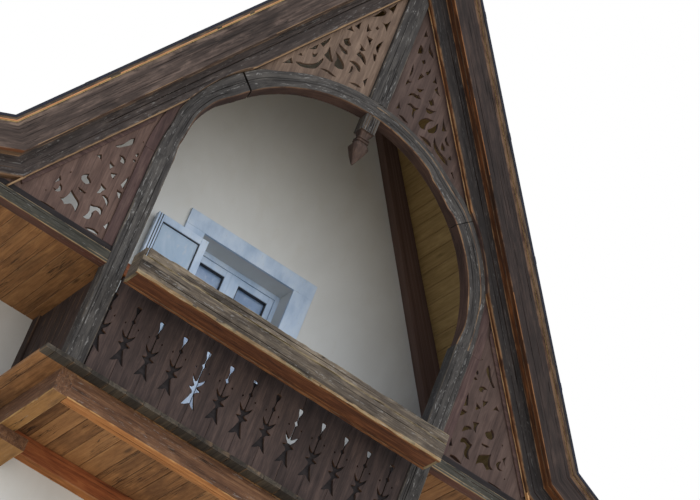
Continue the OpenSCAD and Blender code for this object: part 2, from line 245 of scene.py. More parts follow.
def crack_depth(s, k, crack, seed):
    depth, start, end, *share = crack[3:]
    shown = np.clip((s - start) / .15, 0, 1) * np.clip((end - s) / .15, 0, 1)
    if share:
        shown = shown * np.clip((wave(s, seed + 37 * k, .16) - 1 + 2 * share[0]) * 5, 0, 1)
    return depth * shown * (.75 + .25 * wave(s, seed + 5 * k, .2))


def sweep(piece, place, start, end, outline, step=.08, stops=(), tint=.5, seed=1, rough=.0008,
          mat=None, sides=None, cap=None, grain=(1., 0.)):
    """A solid with the outline run from start to end; place(s, v, w) puts it in space.
    sides gives another material to a side of the outline or to the bevel after it, ("lip", side), and
    cap to the ends. A material may be a function of s. grain turns s into the place in the plank"""
    rows, cracks = outline
    count = max(2, int(abs(end - start) / step) + 1)
    s = np.array(sorted({round(q, 5) for q in [*np.linspace(start, end, count),
                                               *(q for q in stops if start < q < end)]}))
    n, m = len(rows), len(s)
    v, w, edge = (np.repeat(rows[None, :, column], m, 0) for column in (V, W, EDGE))
    dark = np.zeros_like(v)
    whole_ends = np.minimum(1, np.minimum(s - start, end - s) / .02)
    for j, row in enumerate(rows):
        k = int(row[CRACK])
        if row[EDGE] > .5:
            dent = rough * wave(s, seed * 31 + j // 2, .11) + rough * .6 * wave(s, seed * 17 + j // 2, .035)
            dent = np.maximum(dent, -rough * .3) * whole_ends
            v[:, j] += row[IN_V] * dent
            w[:, j] += row[IN_W] * dent
        if k >= 0:
            deep = crack_depth(s, k, cracks[k], seed)
            drift = .006 * wave(s, seed + 91 + k, .35)
            v[:, j] += row[IN_V] * deep + row[ALONG_V] * drift
            w[:, j] += row[IN_W] * deep + row[ALONG_W] * drift
            dark[:, j] = np.clip(deep / .006, 0, 1)
    S = np.repeat(s[:, None], n, 1)
    points = np.stack([q + 0 * S for q in place(S, v, w)], -1).reshape(-1, 3)
    shift = np.random.default_rng(seed + 400).uniform(0, 40, 3)
    wood = np.stack([grain[0] * S + grain[1] + shift[0], v + shift[1], w + shift[2]], -1).reshape(-1, 3)
    look = np.stack([np.full_like(v, tint), edge, dark], -1).reshape(-1, 3)
    faces, mats, sides = [], [], sides or {}

    def chosen(choice, q):
        return choice(q) if callable(choice) else choice

    for i in range(m - 1):
        for j in range(n):
            a, b = i * n + j, i * n + (j + 1) % n
            faces.append((a, b, b + n, a + n))
            side, after = int(rows[j, SIDE]), int(rows[(j + 1) % n, SIDE])
            choice = sides.get(side, mat)
            if after != side:
                choice = sides.get(("lip", side), choice)
            mats.append(chosen(choice, (s[i] + s[i + 1]) / 2))
    faces += [tuple(range(n - 1, -1, -1)), tuple(range((m - 1) * n, m * n))]
    mats += [chosen(cap or mat, start), chosen(cap or mat, end)]
    piece.add(points, faces, wood, look, mats)


# Places for a sweep: s runs along the member, v and w are the outline's two axes
def along_x(s, v, w):
    return s, w, v


def along_y(s, v, w):
    return v, s, w


def along_z(s, v, w):
    return v, w, s


def down_roof(side, limit=lambda s, depth: depth):
    """s down the slope, v the depth below the roof's top, w = y"""
    def place(s, v, w):
        x, z = roof(side, s, limit(s, v))
        return x, w, z
    return place


# Materials
def srgb(*colour):
    linear = [c / 255 / 12.92 if c / 255 <= .04045 else ((c / 255 + .055) / 1.055) ** 2.4 for c in colour]
    return (*linear, 1)


def dim(colour, share):
    return (*(c * share for c in srgb(*colour)[:3]), 1)


class Nodes:
    """Short ways to add nodes to a material or to the world"""

    def __init__(self, owner, shader="Principled BSDF"):
        owner.use_nodes = True
        self.tree = owner.node_tree
        self.shader = self.tree.nodes[shader]

    def feed(self, socket, value):
        if isinstance(value, bpy.types.NodeSocket):
            self.tree.links.new(value, socket)
        else:
            socket.default_value = value

    def put(self, kind, inputs=None, **settings):
        node = self.tree.nodes.new(kind)
        for name, value in settings.items():
            setattr(node, name, value)
        for name, value in (inputs or {}).items():
            self.feed(node.inputs[name], value)
        return node

    def give(self, **values):
        """values for the shader's own sockets"""
        for name, value in values.items():
            self.feed(self.shader.inputs[name.replace("_", " ")], value)

    def calc(self, operation, a, b=0., c=0.):
        return self.put("ShaderNodeMath", {0: a, 1: b, 2: c}, operation=operation).outputs[0]

    def times(self, a, b):
        return self.calc("MULTIPLY", a, b)

    def plus(self, a, b):
        return self.calc("ADD", a, b)

    def most(self, a, b):
        return self.calc("MAXIMUM", a, b)

    def off(self, a, b):
        """how far a is from b"""
        return self.calc("ABSOLUTE", self.calc("SUBTRACT", a, b))

    def remap(self, value, a, b, c=0., d=1.):
        return self.put("ShaderNodeMapRange", {0: value, 1: a, 2: b, 3: c, 4: d}, clamp=True).outputs[0]

    def mix(self, share, a, b):
        node = self.put("ShaderNodeMix", data_type="RGBA")
        for i, value in ((0, share), (6, a), (7, b)):
            self.feed(node.inputs[i], value)
        return node.outputs[2]

    def stretch(self, where, scale):
        return self.put("ShaderNodeMapping", {"Vector": where, "Scale": scale}).outputs[0]

    def noise(self, where, scale, detail=3., rough=.55, distortion=0.):
        return self.put("ShaderNodeTexNoise", {"Vector": self.stretch(where, scale), "Scale": 1.,
                                               "Detail": detail, "Roughness": rough,
                                               "Distortion": distortion}).outputs[0]

    def ramp(self, value, stops):
        node = self.put("ShaderNodeValToRGB", {0: value})
        elements = node.color_ramp.elements
        while len(elements) < len(stops):
            elements.new(.5)
        for element, (place, colour) in zip(elements, stops):
            element.position, element.color = place, srgb(*colour)
        return node.outputs[0]

    def place(self):
        return self.put("ShaderNodeTexCoord").outputs["Object"]

    def attribute(self, name):
        return self.put("ShaderNodeAttribute", attribute_name=name).outputs["Vector"]

    def xyz(self, vector):
        return self.put("ShaderNodeSeparateXYZ", {0: vector}).outputs

    def bump(self, height, distance, strength):
        node = self.put("ShaderNodeBump", {"Height": height, "Distance": distance, "Strength": strength})
        self.give(Normal=node.outputs[0])


MATERIALS = {}


def material(name):
    MATERIALS[name] = bpy.data.materials.new(name)
    return Nodes(MATERIALS[name])


def wood(name, dark, mid, light, fresh_and_underlit=None, fresh_and_underlit_share=.8, crack=1., stain=.5, edge=(150, 120, 90),
         worn_and_lit_edge_share=.35, grain=34., knots=.4, relief=.0025, chips=0., patch=0., seams=0.):
    """Weathered timber: grain, cracks, knots and stains that follow each plank, fresher wood on
    undersides that is partly painted warm light from below, worn arrises that are partly a painted
    highlight, and with seams a joint between boards at that distance"""
    nodes = material(name)
    w = nodes.attribute("wood")
    tint, worn_and_lit, opened = nodes.xyz(nodes.attribute("look"))[:3]
    coarse = nodes.noise(w, (1.3, grain, grain), 5., .65, .5)
    fine = nodes.noise(w, (7., grain * 4.2, grain * 4.2), 2., .6)
    broad = nodes.noise(w, (1.1, 5., 5.), 4., .6, .6)
    blot = nodes.noise(w, (5., 16., 16.), 4., .65, .4)
    tone = nodes.plus(nodes.times(coarse, .48), nodes.times(fine, .24))
    tone = nodes.plus(tone, nodes.times(blot, .28))
    tone = nodes.plus(tone, nodes.times(nodes.calc("SUBTRACT", tint, .5), .30))
    colour = nodes.ramp(tone, [(.34, dark), (.50, mid), (.66, light)])
    # Downward faces take a warmer colour: partly fresher sheltered wood, partly painted warm light from
    # below
    if fresh_and_underlit:
        up = nodes.xyz(nodes.put("ShaderNodeNewGeometry").outputs["Normal"])[2]
        down = nodes.remap(nodes.times(up, -1.), .42, .80)
        under = nodes.mix(nodes.remap(tone, .36, .64), dim(fresh_and_underlit, .62), srgb(*fresh_and_underlit))
        if patch:
            spot = nodes.noise(w, (7.5, 2., 2.), 2., .5)
            under = nodes.mix(nodes.times(nodes.remap(spot, .50, .58), patch), under, dim(fresh_and_underlit, .4))
        share = nodes.times(down, nodes.remap(broad, .30, .60, fresh_and_underlit_share * .55, fresh_and_underlit_share))
        colour = nodes.mix(share, colour, under)
    colour = nodes.mix(nodes.times(nodes.remap(broad, .50, .36), stain * .6), colour, dim(dark, .45))
    colour = nodes.mix(nodes.times(nodes.remap(blot, .58, .70), .30), colour, srgb(*light))
    if knots:
        cells = {"Vector": nodes.stretch(w, (1.3, 6.5, 6.5)), "Scale": 1.}
        knot = nodes.put("ShaderNodeTexVoronoi", cells, feature="F1").outputs[0]
        colour = nodes.mix(nodes.times(nodes.remap(knot, .12, .05), knots), colour, dim(dark, .35))
    veins = nodes.noise(w, (.9, 36., 36.), 3., .5, .4)
    line = nodes.remap(nodes.off(veins, .5), .016, .003)
    where = nodes.remap(nodes.noise(w, (1.6, 10., 10.), 2., .5), .50, .58)
    cracks = nodes.most(nodes.times(nodes.times(line, where), crack), opened)
    if chips:
        flake = nodes.noise(w, (14., 60., 60.), 3., .7, .8)
        near = nodes.remap(nodes.off(veins, .52), .07, .02)
        bare = nodes.times(nodes.times(nodes.remap(flake, .56, .64), near), chips)
        colour = nodes.mix(bare, colour, srgb(164, 162, 158))
        cracks = nodes.most(cracks, nodes.times(nodes.remap(flake, .40, .34), .55 * chips))
    if seams:
        across = nodes.calc("FRACT", nodes.times(nodes.xyz(w)[1], 1 / seams))
        cracks = nodes.most(cracks, nodes.remap(nodes.off(across, .5), .494, .499))
    # Bevelled edges are lightened: partly wear, partly a painted highlight
    rubbed_and_lit = nodes.times(nodes.remap(worn_and_lit, .2, 1.), nodes.remap(blot, .40, .58))
    colour = nodes.mix(nodes.times(rubbed_and_lit, worn_and_lit_edge_share), colour, srgb(*edge))
    colour = nodes.mix(nodes.times(cracks, .88), colour, dim(dark, .14))
    height = nodes.plus(nodes.plus(nodes.times(coarse, .5), nodes.times(fine, .3)), nodes.times(blot, .4))
    height = nodes.calc("SUBTRACT", height, nodes.times(cracks, .9))
    nodes.bump(height, relief, .75)
    nodes.give(Base_Color=colour, Roughness=nodes.remap(tone, .3, .7, .88, .66), Specular_IOR_Level=.3)


def roof_edge_woods():
    wood("barge_timber", (38, 31, 29), (70, 58, 52), (112, 94, 84), fresh_and_underlit=(140, 84, 46), fresh_and_underlit_share=.85,
         stain=1., edge=(140, 120, 104), worn_and_lit_edge_share=.4, patch=.7, grain=26., crack=.9)
    # The right-hand copies are darker copies for the right side of the gable: painted shade
    wood("barge_timber_shaded_right", (25, 19, 18), (46, 36, 33), (70, 55, 48), fresh_and_underlit=(120, 66, 36),
         stain=.8, edge=(150, 110, 78), worn_and_lit_edge_share=.5, patch=.6, grain=26., crack=.6)
    wood("rake_timber", (34, 29, 28), (58, 50, 47), (88, 78, 72), fresh_and_underlit=(156, 122, 92), fresh_and_underlit_share=1.,
         stain=.8, worn_and_lit_edge_share=.4, chips=.3)
    wood("rake_timber_shaded_right", (20, 17, 17), (36, 31, 30), (58, 50, 46), fresh_and_underlit=(100, 64, 42),
         stain=.8, edge=(150, 116, 80), worn_and_lit_edge_share=.4, chips=.15)
    # Arris colours: light lines along lower arrises that catch the light, a painted highlight
    wood("arris_timber", (112, 86, 62), (154, 126, 94), (180, 154, 120), crack=.9, stain=.6, knots=.3)
    wood("arris_timber_right", (104, 62, 36), (150, 98, 58), (186, 138, 88), crack=.8, stain=.6, knots=.3)
    wood("verge_lath", (168, 108, 68), (212, 148, 100), (236, 186, 142), crack=.6, stain=.3, knots=.2)
    wood("verge_lath_right", (40, 25, 18), (64, 41, 29), (90, 61, 43), stain=.6, knots=.2)
    # Sheltered wood under the roof, whose warm orange is partly painted warm light from below
    wood("sheltered_timber", (44, 27, 18), (88, 52, 28), (136, 84, 46), crack=.8, stain=1., knots=.3,
         grain=20., edge=(170, 130, 90), worn_and_lit_edge_share=.5)
    # A tan line along lit arrises: a painted highlight
    wood("sheltered_tan", (150, 104, 62), (204, 150, 96), (232, 190, 136), crack=.8, stain=.6, knots=.2,
         grain=20., edge=(240, 206, 156), worn_and_lit_edge_share=.8)
    wood("roof_boards", (140, 118, 76), (170, 144, 96), (192, 166, 116), fresh_and_underlit=(182, 154, 102),
         fresh_and_underlit_share=.6, stain=.15, crack=.4, relief=.0015)
    wood("board_ends", (38, 34, 30), (60, 54, 46), (84, 76, 64), crack=.8, stain=.6, knots=0)
    wood("shingles", (52, 47, 43), (86, 80, 74), (124, 116, 106), crack=.7, knots=0)
    wood("wall_rafter_timber", (78, 60, 56), (102, 82, 76), (126, 104, 96), stain=.4, crack=.4,
         edge=(100, 82, 74), knots=.1)


def screen_woods():
    wood("screen_timber", (34, 32, 32), (60, 57, 55), (90, 86, 81), stain=.8, edge=(120, 108, 90),
         worn_and_lit_edge_share=.4, chips=.55, relief=.004, grain=30.)
    wood("screen_inner", (42, 30, 26), (66, 48, 41), (94, 70, 58), stain=.6, crack=.7, edge=(124, 94, 66),
         worn_and_lit_edge_share=.4)
    wood("screen_bevel", (58, 38, 31), (90, 63, 50), (124, 94, 74), stain=.6, crack=.8,
         edge=(160, 128, 92), worn_and_lit_edge_share=.6)
    wood("tie_timber", (34, 34, 30), (60, 58, 50), (88, 84, 74), fresh_and_underlit=(104, 62, 48), fresh_and_underlit_share=.9,
         stain=.6, edge=(200, 170, 126), worn_and_lit_edge_share=.5, crack=.8, chips=.3)
    wood("pendant_drop", (36, 27, 25), (58, 44, 39), (82, 64, 56), stain=.8, crack=.9,
         edge=(120, 96, 76), worn_and_lit_edge_share=.5, grain=30.)
    for name, tones, fresh_and_underlit, crack in (
            ("fretwork", ((80, 65, 56), (112, 93, 79), (138, 117, 100)), (120, 92, 72), .25),
            # The right fretwork's darker tones are painted shade
            ("fretwork_shaded_right", ((56, 44, 40), (78, 62, 56), (96, 78, 70)), (110, 80, 60), .25),
            ("fretwork_low", ((60, 46, 42), (90, 70, 62), (112, 90, 80)), (120, 92, 72), .3)):
        wood(name, *tones, fresh_and_underlit=fresh_and_underlit, fresh_and_underlit_share=.4, crack=crack, knots=.1, grain=22., relief=.0015,
             seams=.21)
    wood("fretwork_border", (50, 37, 36), (76, 57, 54), (98, 78, 70), crack=.5, stain=.6, knots=.1)


def balcony_woods():
    wood("beam_timber", (58, 38, 27), (100, 69, 48), (138, 102, 72), fresh_and_underlit=(172, 128, 74), fresh_and_underlit_share=.9,
         stain=.7, chips=.3, edge=(204, 166, 108), worn_and_lit_edge_share=.6)
    # The beam's lighter, warmer underside is painted warm light from below
    wood("beam_underside", (92, 58, 34), (146, 100, 60), (190, 144, 94), fresh_and_underlit=(196, 130, 70),
         fresh_and_underlit_share=.7, stain=.8, crack=.9, edge=(220, 180, 124), worn_and_lit_edge_share=.5)
    wood("ledger_timber", (104, 54, 32), (150, 86, 50), (184, 118, 72), fresh_and_underlit=(196, 130, 66),
         fresh_and_underlit_share=.9, stain=.4)
    wood("under_boards", (92, 60, 38), (138, 98, 62), (174, 130, 84), fresh_and_underlit=(164, 116, 70),
         fresh_and_underlit_share=.5, stain=.6, knots=.7)
    wood("rail_timber", (78, 38, 22), (122, 66, 38), (160, 98, 58), fresh_and_underlit=(190, 116, 58), stain=.6)
    wood("rail_boards", (38, 30, 29), (58, 46, 43), (80, 64, 58), fresh_and_underlit=(110, 76, 52), fresh_and_underlit_share=.5,
         crack=.4, grain=24.)
    # Near-black boards: painted shade behind the balustrade's cuts, in grooves, beside the arch and along
    # the tie beam
    wood("lining_boards", (16, 13, 15), (26, 21, 23), (38, 31, 32), crack=.2, stain=.3, knots=0)
    wood("box_planks", (44, 37, 32), (90, 80, 69), (144, 130, 110), stain=1., edge=(160, 144, 110),
         worn_and_lit_edge_share=.7, chips=.5, relief=.005)
    wood("box_arris", (74, 58, 40), (150, 126, 90), (204, 182, 142), stain=1., knots=.2, chips=.5,
         grain=30.)
    wood("box_underside", (58, 33, 22), (94, 56, 35), (130, 84, 54), crack=.8, stain=.7,
         edge=(160, 110, 66), worn_and_lit_edge_share=.5)


def sheet_metal():
    nodes = material("sheet_metal")
    broad = nodes.noise(nodes.place(), (9., 9., 9.), 4., .6)
    fine = nodes.noise(nodes.place(), (60., 60., 60.), 2., .5)
    colour = nodes.ramp(broad, [(.35, (7, 10, 22)), (.55, (12, 16, 34)), (.72, (26, 31, 50))])
    colour = nodes.mix(nodes.remap(fine, .70, .80), colour, srgb(70, 72, 80))
    nodes.give(Base_Color=colour, Roughness=nodes.remap(broad, .3, .7, .50, .66), Specular_IOR_Level=.25)
    nodes.bump(broad, .0015, .35)


def plaster():
    nodes = material("plaster")
    broad = nodes.noise(nodes.place(), (.9, .9, .5), 4., .6, .5)
    mid = nodes.noise(nodes.place(), (7., 7., 4.), 4., .6)
    fine = nodes.noise(nodes.place(), (120., 120., 120.), 3., .7)
    colour = nodes.ramp(broad, [(.34, (210, 212, 210)), (.52, (220, 223, 222)), (.70, (228, 231, 231))])
    colour = nodes.mix(nodes.times(nodes.remap(mid, .52, .70), .10), colour, srgb(198, 192, 174))
    colour = nodes.mix(nodes.times(nodes.remap(fine, .58, .72), .22), colour, srgb(182, 178, 164))
    nodes.give(Base_Color=colour, Roughness=.92, Specular_IOR_Level=.2)
    nodes.bump(nodes.plus(nodes.times(fine, .5), nodes.times(mid, .6)), .003, .5)


def white_paint():
    nodes = material("white_frames")
    broad = nodes.noise(nodes.place(), (6., 6., 3.), 4., .6)
    fine = nodes.noise(nodes.place(), (80., 80., 20.), 2., .5)
    # The bluish tint of the white paint is painted cool shade
    colour = nodes.ramp(broad, [(.36, (172, 196, 224)), (.52, (194, 214, 238)), (.70, (210, 226, 244))])
    colour = nodes.mix(nodes.times(nodes.remap(fine, .60, .74), .25), colour, srgb(188, 188, 182))
    nodes.give(Base_Color=colour, Roughness=nodes.remap(broad, .3, .7, .28, .42))
    nodes.bump(fine, .0006, .3)


def gasket():
    nodes = material("gasket")
    broad = nodes.noise(nodes.place(), (30., 30., 30.), 3., .6)
    nodes.give(Base_Color=nodes.ramp(broad, [(.35, (34, 37, 44)), (.65, (60, 64, 74))]), Roughness=.6)


# The blue tints and pale streaks of the glass are a painted reflection of the sky
def glass(name, dark, mid, light):
    nodes = material(name)
    broad = nodes.noise(nodes.place(), (3., 3., 1.5), 4., .6, .8)
    fine = nodes.noise(nodes.place(), (26., 26., 14.), 3., .6)
    colour = nodes.ramp(broad, [(.34, dark), (.52, mid), (.70, light)])
    colour = nodes.mix(nodes.times(nodes.remap(fine, .56, .70), .3), colour, srgb(214, 220, 226))
    nodes.give(Base_Color=colour, Roughness=nodes.remap(fine, .35, .7, .05, .16), Alpha=.78, IOR=1.5)


def add_materials():
    roof_edge_woods()
    screen_woods()
    balcony_woods()
    sheet_metal()
    plaster()
    white_paint()
    gasket()
    # Both glass colours are a painted sky reflection
    glass("leaf_glass", (160, 190, 220), (188, 212, 236), (216, 232, 248))
    glass("door_glass", (116, 146, 186), (144, 172, 208), (176, 202, 230))


# The holes sawn in the fretwork: mm outwards from the middle and up from the arch's centre
UPPER_LEFT_HOLES = (
    ((857, 1349), (831, 1390), (804, 1440), (794, 1420), (776, 1401), (813, 1378)),
    ((761, 1429), (730, 1447), (685, 1463), (631, 1499), (594, 1537), (575, 1574), (565, 1604),
     (556, 1592), (561, 1552), (575, 1510), (586, 1484), (615, 1460), (671, 1429), (727, 1418)),
    ((764, 1500), (748, 1530), (729, 1512), (746, 1504)),
    ((699, 1605), (677, 1636), (657, 1672), (643, 1691), (643, 1659), (651, 1636), (678, 1617)),
    ((630, 1712), (604, 1755), (571, 1815), (575, 1770), (591, 1723), (597, 1695), (610, 1702)),
    ((662, 1588), (638, 1593), (621, 1618), (621, 1593), (632, 1567), (649, 1561)),
    ((548, 1735), (529, 1702), (500, 1658), (477, 1633), (483, 1616), (515, 1620), (565, 1636),
     (551, 1677)),
    ((488, 1726), (458, 1716), (414, 1692), (380, 1661), (370, 1626), (386, 1611), (421, 1600),
     (454, 1608), (456, 1635), (457, 1680)),
    ((492, 1811), (468, 1805), (429, 1796), (401, 1792), (387, 1767), (405, 1757), (433, 1761),
     (466, 1779)),
    ((466, 1871), (443, 1896), (422, 1913), (416, 1885), (394, 1871), (394, 1851), (415, 1838),
     (442, 1839)),
    ((475, 1966), (455, 1993), (445, 2022), (427, 2000), (409, 1988), (441, 1979)),
    ((422, 2041), (400, 2075), (382, 2113), (382, 2074), (375, 2034), (399, 2039)),
    ((323, 1921), (296, 1912), (260, 1894), (282, 1876), (307, 1866), (305, 1897)),
    ((317, 1817), (301, 1858), (285, 1854), (256, 1848), (228, 1822), (213, 1775), (232, 1783),
     (267, 1804)),
    ((355, 1722), (318, 1745), (269, 1743), (242, 1725), (234, 1688), (254, 1689), (282, 1711),
     (311, 1718)),
    ((311, 1700), (300, 1680), (301, 1647), (320, 1613), (315, 1651), (318, 1686)),
    ((554, 1502), (520, 1523), (471, 1530), (404, 1519), (432, 1510), (471, 1510), (514, 1510)),
    ((285, 1546), (251, 1565), (211, 1575), (175, 1566), (207, 1553), (244, 1550)),
    ((154, 1689), (153, 1654), (150, 1594), (165, 1618), (181, 1637), (166, 1659)),
    ((323, 2131), (312, 2115), (293, 2096), (276, 2094), (293, 2079), (310, 2055), (318, 2081),
     (322, 2103)),
    ((247, 2163), (224, 2152), (234, 2128), (252, 2135)),
    ((218, 2221), (196, 2224), (175, 2242), (155, 2281), (158, 2239), (158, 2199), (156, 2169),
     (174, 2193), (195, 2210)),
    ((297, 2022), (272, 2025), (239, 2029), (244, 2000), (238, 1956), (256, 1977), (277, 2002)),
    ((152, 2070), (154, 2020), (158, 1983), (152, 1938), (172, 1953), (187, 1981), (178, 2022)),
    ((193, 1913), (174, 1917), (159, 1921), (151, 1889), (150, 1856), (163, 1861), (181, 1893)),
    ((319, 2214), (294, 2246), (270, 2293), (250, 2338), (231, 2336), (217, 2326), (224, 2294),
     (250, 2266), (289, 2233)),
    ((220, 2369), (197, 2395), (178, 2429), (163, 2465), (161, 2411), (163, 2380), (161, 2351),
     (182, 2369)),
)
UPPER_RIGHT_HOLES = (
    ((155, 2400), (189, 2357), (158, 2334)),
    ((157, 2256), (193, 2227), (198, 2185), (161, 2162), (157, 2202)),
    ((226, 2322), (248, 2278), (285, 2243), (306, 2204), (270, 2221), (238, 2246)),
    ((216, 2123), (240, 2150), (255, 2126), (241, 2104)),
    ((161, 2049), (178, 2000), (179, 1954), (170, 1918), (165, 1968)),
    ((314, 2108), (322, 2072), (309, 2030), (284, 2051), (305, 2071)),
    ((252, 2016), (285, 2004), (268, 1974), (247, 1944), (249, 1979)),
    ((167, 1895), (182, 1885), (208, 1893), (180, 1862), (166, 1832), (164, 1866)),
    ((378, 2075), (395, 2045), (413, 2015), (373, 2005), (382, 2036)),
    ((264, 1865), (293, 1879), (327, 1896), (312, 1866), (300, 1848), (281, 1854)),
    ((431, 1998), (445, 1960), (475, 1928), (443, 1935), (411, 1954)),
    ((221, 1757), (234, 1796), (263, 1812), (292, 1812), (301, 1826), (334, 1798), (295, 1785),
     (250, 1784)),
    ((397, 1832), (419, 1850), (417, 1870), (439, 1856), (458, 1821), (432, 1800)),
    ((239, 1682), (262, 1709), (310, 1702), (349, 1711), (323, 1669), (333, 1599), (308, 1629),
     (300, 1671), (271, 1686)),
    ((398, 1756), (428, 1765), (461, 1770), (491, 1781), (453, 1731), (421, 1725)),
    ((167, 1661), (198, 1610), (166, 1591), (171, 1623)),
    ((204, 1552), (247, 1558), (309, 1530), (264, 1529)),
    ((388, 1590), (399, 1633), (439, 1678), (509, 1691), (477, 1669), (459, 1627), (459, 1568),
     (420, 1565)),
    ((547, 1694), (558, 1636), (542, 1590), (499, 1567), (481, 1584), (515, 1630)),
    ((573, 1770), (593, 1731), (640, 1675), (602, 1655), (587, 1715)),
    ((436, 1494), (484, 1504), (538, 1494), (568, 1462), (521, 1465), (475, 1480)),
    ((561, 1568), (592, 1519), (656, 1469), (723, 1444), (758, 1398), (715, 1404), (647, 1434),
     (592, 1472), (568, 1520)),
    ((655, 1638), (675, 1599), (709, 1569), (683, 1563), (652, 1595)),
    ((638, 1562), (678, 1531), (687, 1502), (663, 1497), (645, 1514)),
    ((747, 1501), (767, 1463), (736, 1453)),
    ((812, 1376), (850, 1321), (802, 1358)),
)
LOWER_HOLES = (
    ((2071, -672), (2050, -684), (2039, -714), (2060, -742), (2084, -747), (2112, -736), (2079, -733),
     (2067, -708)),
    ((1970, -664), (1941, -685), (1900, -707), (1874, -731), (1872, -771), (1873, -814), (1896, -787),
     (1930, -772), (1957, -790), (1977, -806), (2001, -787), (2027, -777), (1993, -752), (1974, -707)),
    ((1935, -616), (1909, -615), (1880, -620), (1861, -620), (1865, -635), (1892, -636), (1913, -633)),
    ((1942, -513), (1924, -483), (1899, -468), (1897, -491), (1871, -507), (1858, -527), (1885, -554),
     (1912, -555), (1936, -542)),
    ((1786, -479), (1762, -487), (1730, -499), (1750, -528), (1759, -556), (1786, -574), (1776, -534),
     (1777, -506)),
    ((1744, -566), (1723, -552), (1691, -560), (1672, -585), (1669, -628), (1689, -608), (1717, -581)),
    ((1790, -682), (1761, -677), (1725, -661), (1694, -669), (1684, -703), (1692, -719), (1713, -706),
     (1737, -706), (1751, -727), (1745, -752), (1752, -789), (1774, -810), (1810, -812), (1788, -777),
     (1780, -742), (1786, -714)),
    ((1792, -271), (1770, -281), (1745, -289), (1761, -316), (1765, -340), (1783, -306)),
    ((1751, -184), (1719, -175), (1689, -189), (1683, -214), (1695, -230), (1721, -227), (1721, -198)),
    ((1614, -79), (1611, -102), (1621, -117), (1634, -105), (1626, -87)),
    ((1642, -152), (1619, -141), (1610, -148), (1615, -168), (1628, -164)),
    ((1752, -356), (1731, -348), (1702, -335), (1712, -367), (1713, -394), (1734, -382)),
    ((1610, -300), (1606, -337), (1611, -390), (1609, -422), (1642, -399), (1629, -357)),
    ((1655, -453), (1631, -454), (1608, -451), (1605, -486), (1607, -517), (1629, -494)),
    ((2152, -890), (2112, -885), (2067, -884), (2021, -886), (2035, -895), (2083, -899), (2126, -898)),
    ((1759, -880), (1727, -863), (1686, -852), (1645, -858), (1643, -877), (1673, -880), (1718, -885)),
    ((1607, -728), (1601, -751), (1603, -789), (1611, -798), (1635, -785), (1617, -757)),
    ((2155, -788), (2146, -782), (2144, -796)),
    ((1626, 31), (1617, 33), (1618, 17)),
    ((2098, -610), (2075, -644), (2088, -660), (2114, -688), (2099, -652)),
    ((2037, -536), (2026, -536), (2037, -554)),
    ((1806, -129), (1753, -77), (1714, -3), (1692, 20), (1686, -31), (1727, -84), (1784, -135)),
    ((1912, -294), (1874, -264), (1856, -314), (1874, -301)),
)


# Roof
BOARD_W = .137
COURSE = .140                    # how far down the slope each row of shingles starts
SHINGLE_END = FRONT - .0098
BLOCK = ((0, 1, 3, 2), (2, 3, 5, 4), (4, 5, 7, 6), (6, 7, 1, 0), (0, 2, 4, 6), (1, 7, 5, 3))


def roof_boards(name, side, rng):
    """boards under the covering, one after the other down the slope, and a strip over their ends"""
    piece = Piece("boards_" + name, "roof_boards_" + name, slot="roof_boards")

    def across(s, v, w):
        x, z = roof(side, v, w)
        return x, s, z

    edges = [0.]
    while edges[-1] < SLOPE - .02:
        edge = edges[-1] + BOARD_W
        if abs(edge - UPPER) < .07:
            edge = UPPER
        edges.append(SLOPE if edge > SLOPE - .06 else edge)
    for k, (a, b) in enumerate(zip(edges, edges[1:])):
        board = profile(box(a + .0008, b - .0008, COVER, BOARDS), .003, .07)
        sweep(piece, across, FRONT - .0005, 0., board, .19, tint=rng.uniform(.4, .65),
              seed=100 + k + 60 * (side > 0))

    line, low = (.0345, .0425) if side < 0 else (.033, .0485)
    ends = profile(box(COVER, line - .0005, FRONT - .0076, FRONT - .0008), .0015, .1)
    sweep(piece, down_roof(side), 0., SLOPE, ends, .15, stops=(UPPER,), seed=4, rough=.0006,
          mat="board_ends")

    def worn_off(s):
        # On the right the lath takes its darker copy: painted shade
        if side > 0:
            return "verge_lath_right"
        return "verge_lath" if wave(s, 88, .16) > -.85 else "board_ends"

    lath = profile(box(line, low, FRONT - .0074, FRONT - .0010), .0012, .1)
    sweep(piece, down_roof(side), 0., SLOPE, lath, .05, stops=(UPPER,), seed=5, mat=worn_off)
    piece.done()


def shingle(piece, side, rng, tail, y0, y1):
    top = max(.002, tail - .20)
    if tail > UPPER > top:
        top = UPPER
    if tail - top < .03:
        return
    lift, shift, tint = rng.uniform(.0, .003), rng.uniform(0, 30, 3), rng.uniform(.1, .9)
    points, wood_place, look = [], [], []
    for s, depth, edge in ((top, .0105, 0), (tail, .0105, 1), (tail, -.001 - lift, 1), (top, .008, 0)):
        x, z = roof(side, s, depth)
        for y in (y0, y1):
            points.append((x, y, z))
            wood_place.append((shift[0] + s, shift[1] + y, shift[2]))
            look.append((tint, edge, 0))
    piece.add(points, list(BLOCK), wood_place, look)


def shingles(name, side, rng):
    """shingles in courses from the eave up, on a thin sheet"""
    piece = Piece("shingles_" + name, "roof_covering_" + name, slot="shingles")
    sheet = profile(box(.011, COVER - .0005, FRONT - .010, 0.), .002, .4)
    sweep(piece, down_roof(side), 0., SLOPE, sheet, .4, stops=(UPPER,), tint=.2, seed=3)
    for row in range(int(SLOPE / COURSE)):
        y = SHINGLE_END - rng.uniform(0, .08)
        while y < -.02:
            width = rng.uniform(.07, .15)
            y0, y1 = max(y, SHINGLE_END), min(y + width - .004, -.001)
            y += width
            if y1 - y0 >= .02:
                tail = SLOPE - row * COURSE - rng.uniform(0, .012)
                shingle(piece, side, rng, tail, y0, y1)
    piece.done()


def folded(top, under, low, front, inside, back):
    """a sheet on the roof that turns down over its front edge; the places are depths and y from FRONT"""
    return [(low, FRONT + front), (low, FRONT + inside), (under, FRONT + inside),
            (under, FRONT + back), (top, FRONT + back), (top, FRONT + front)]


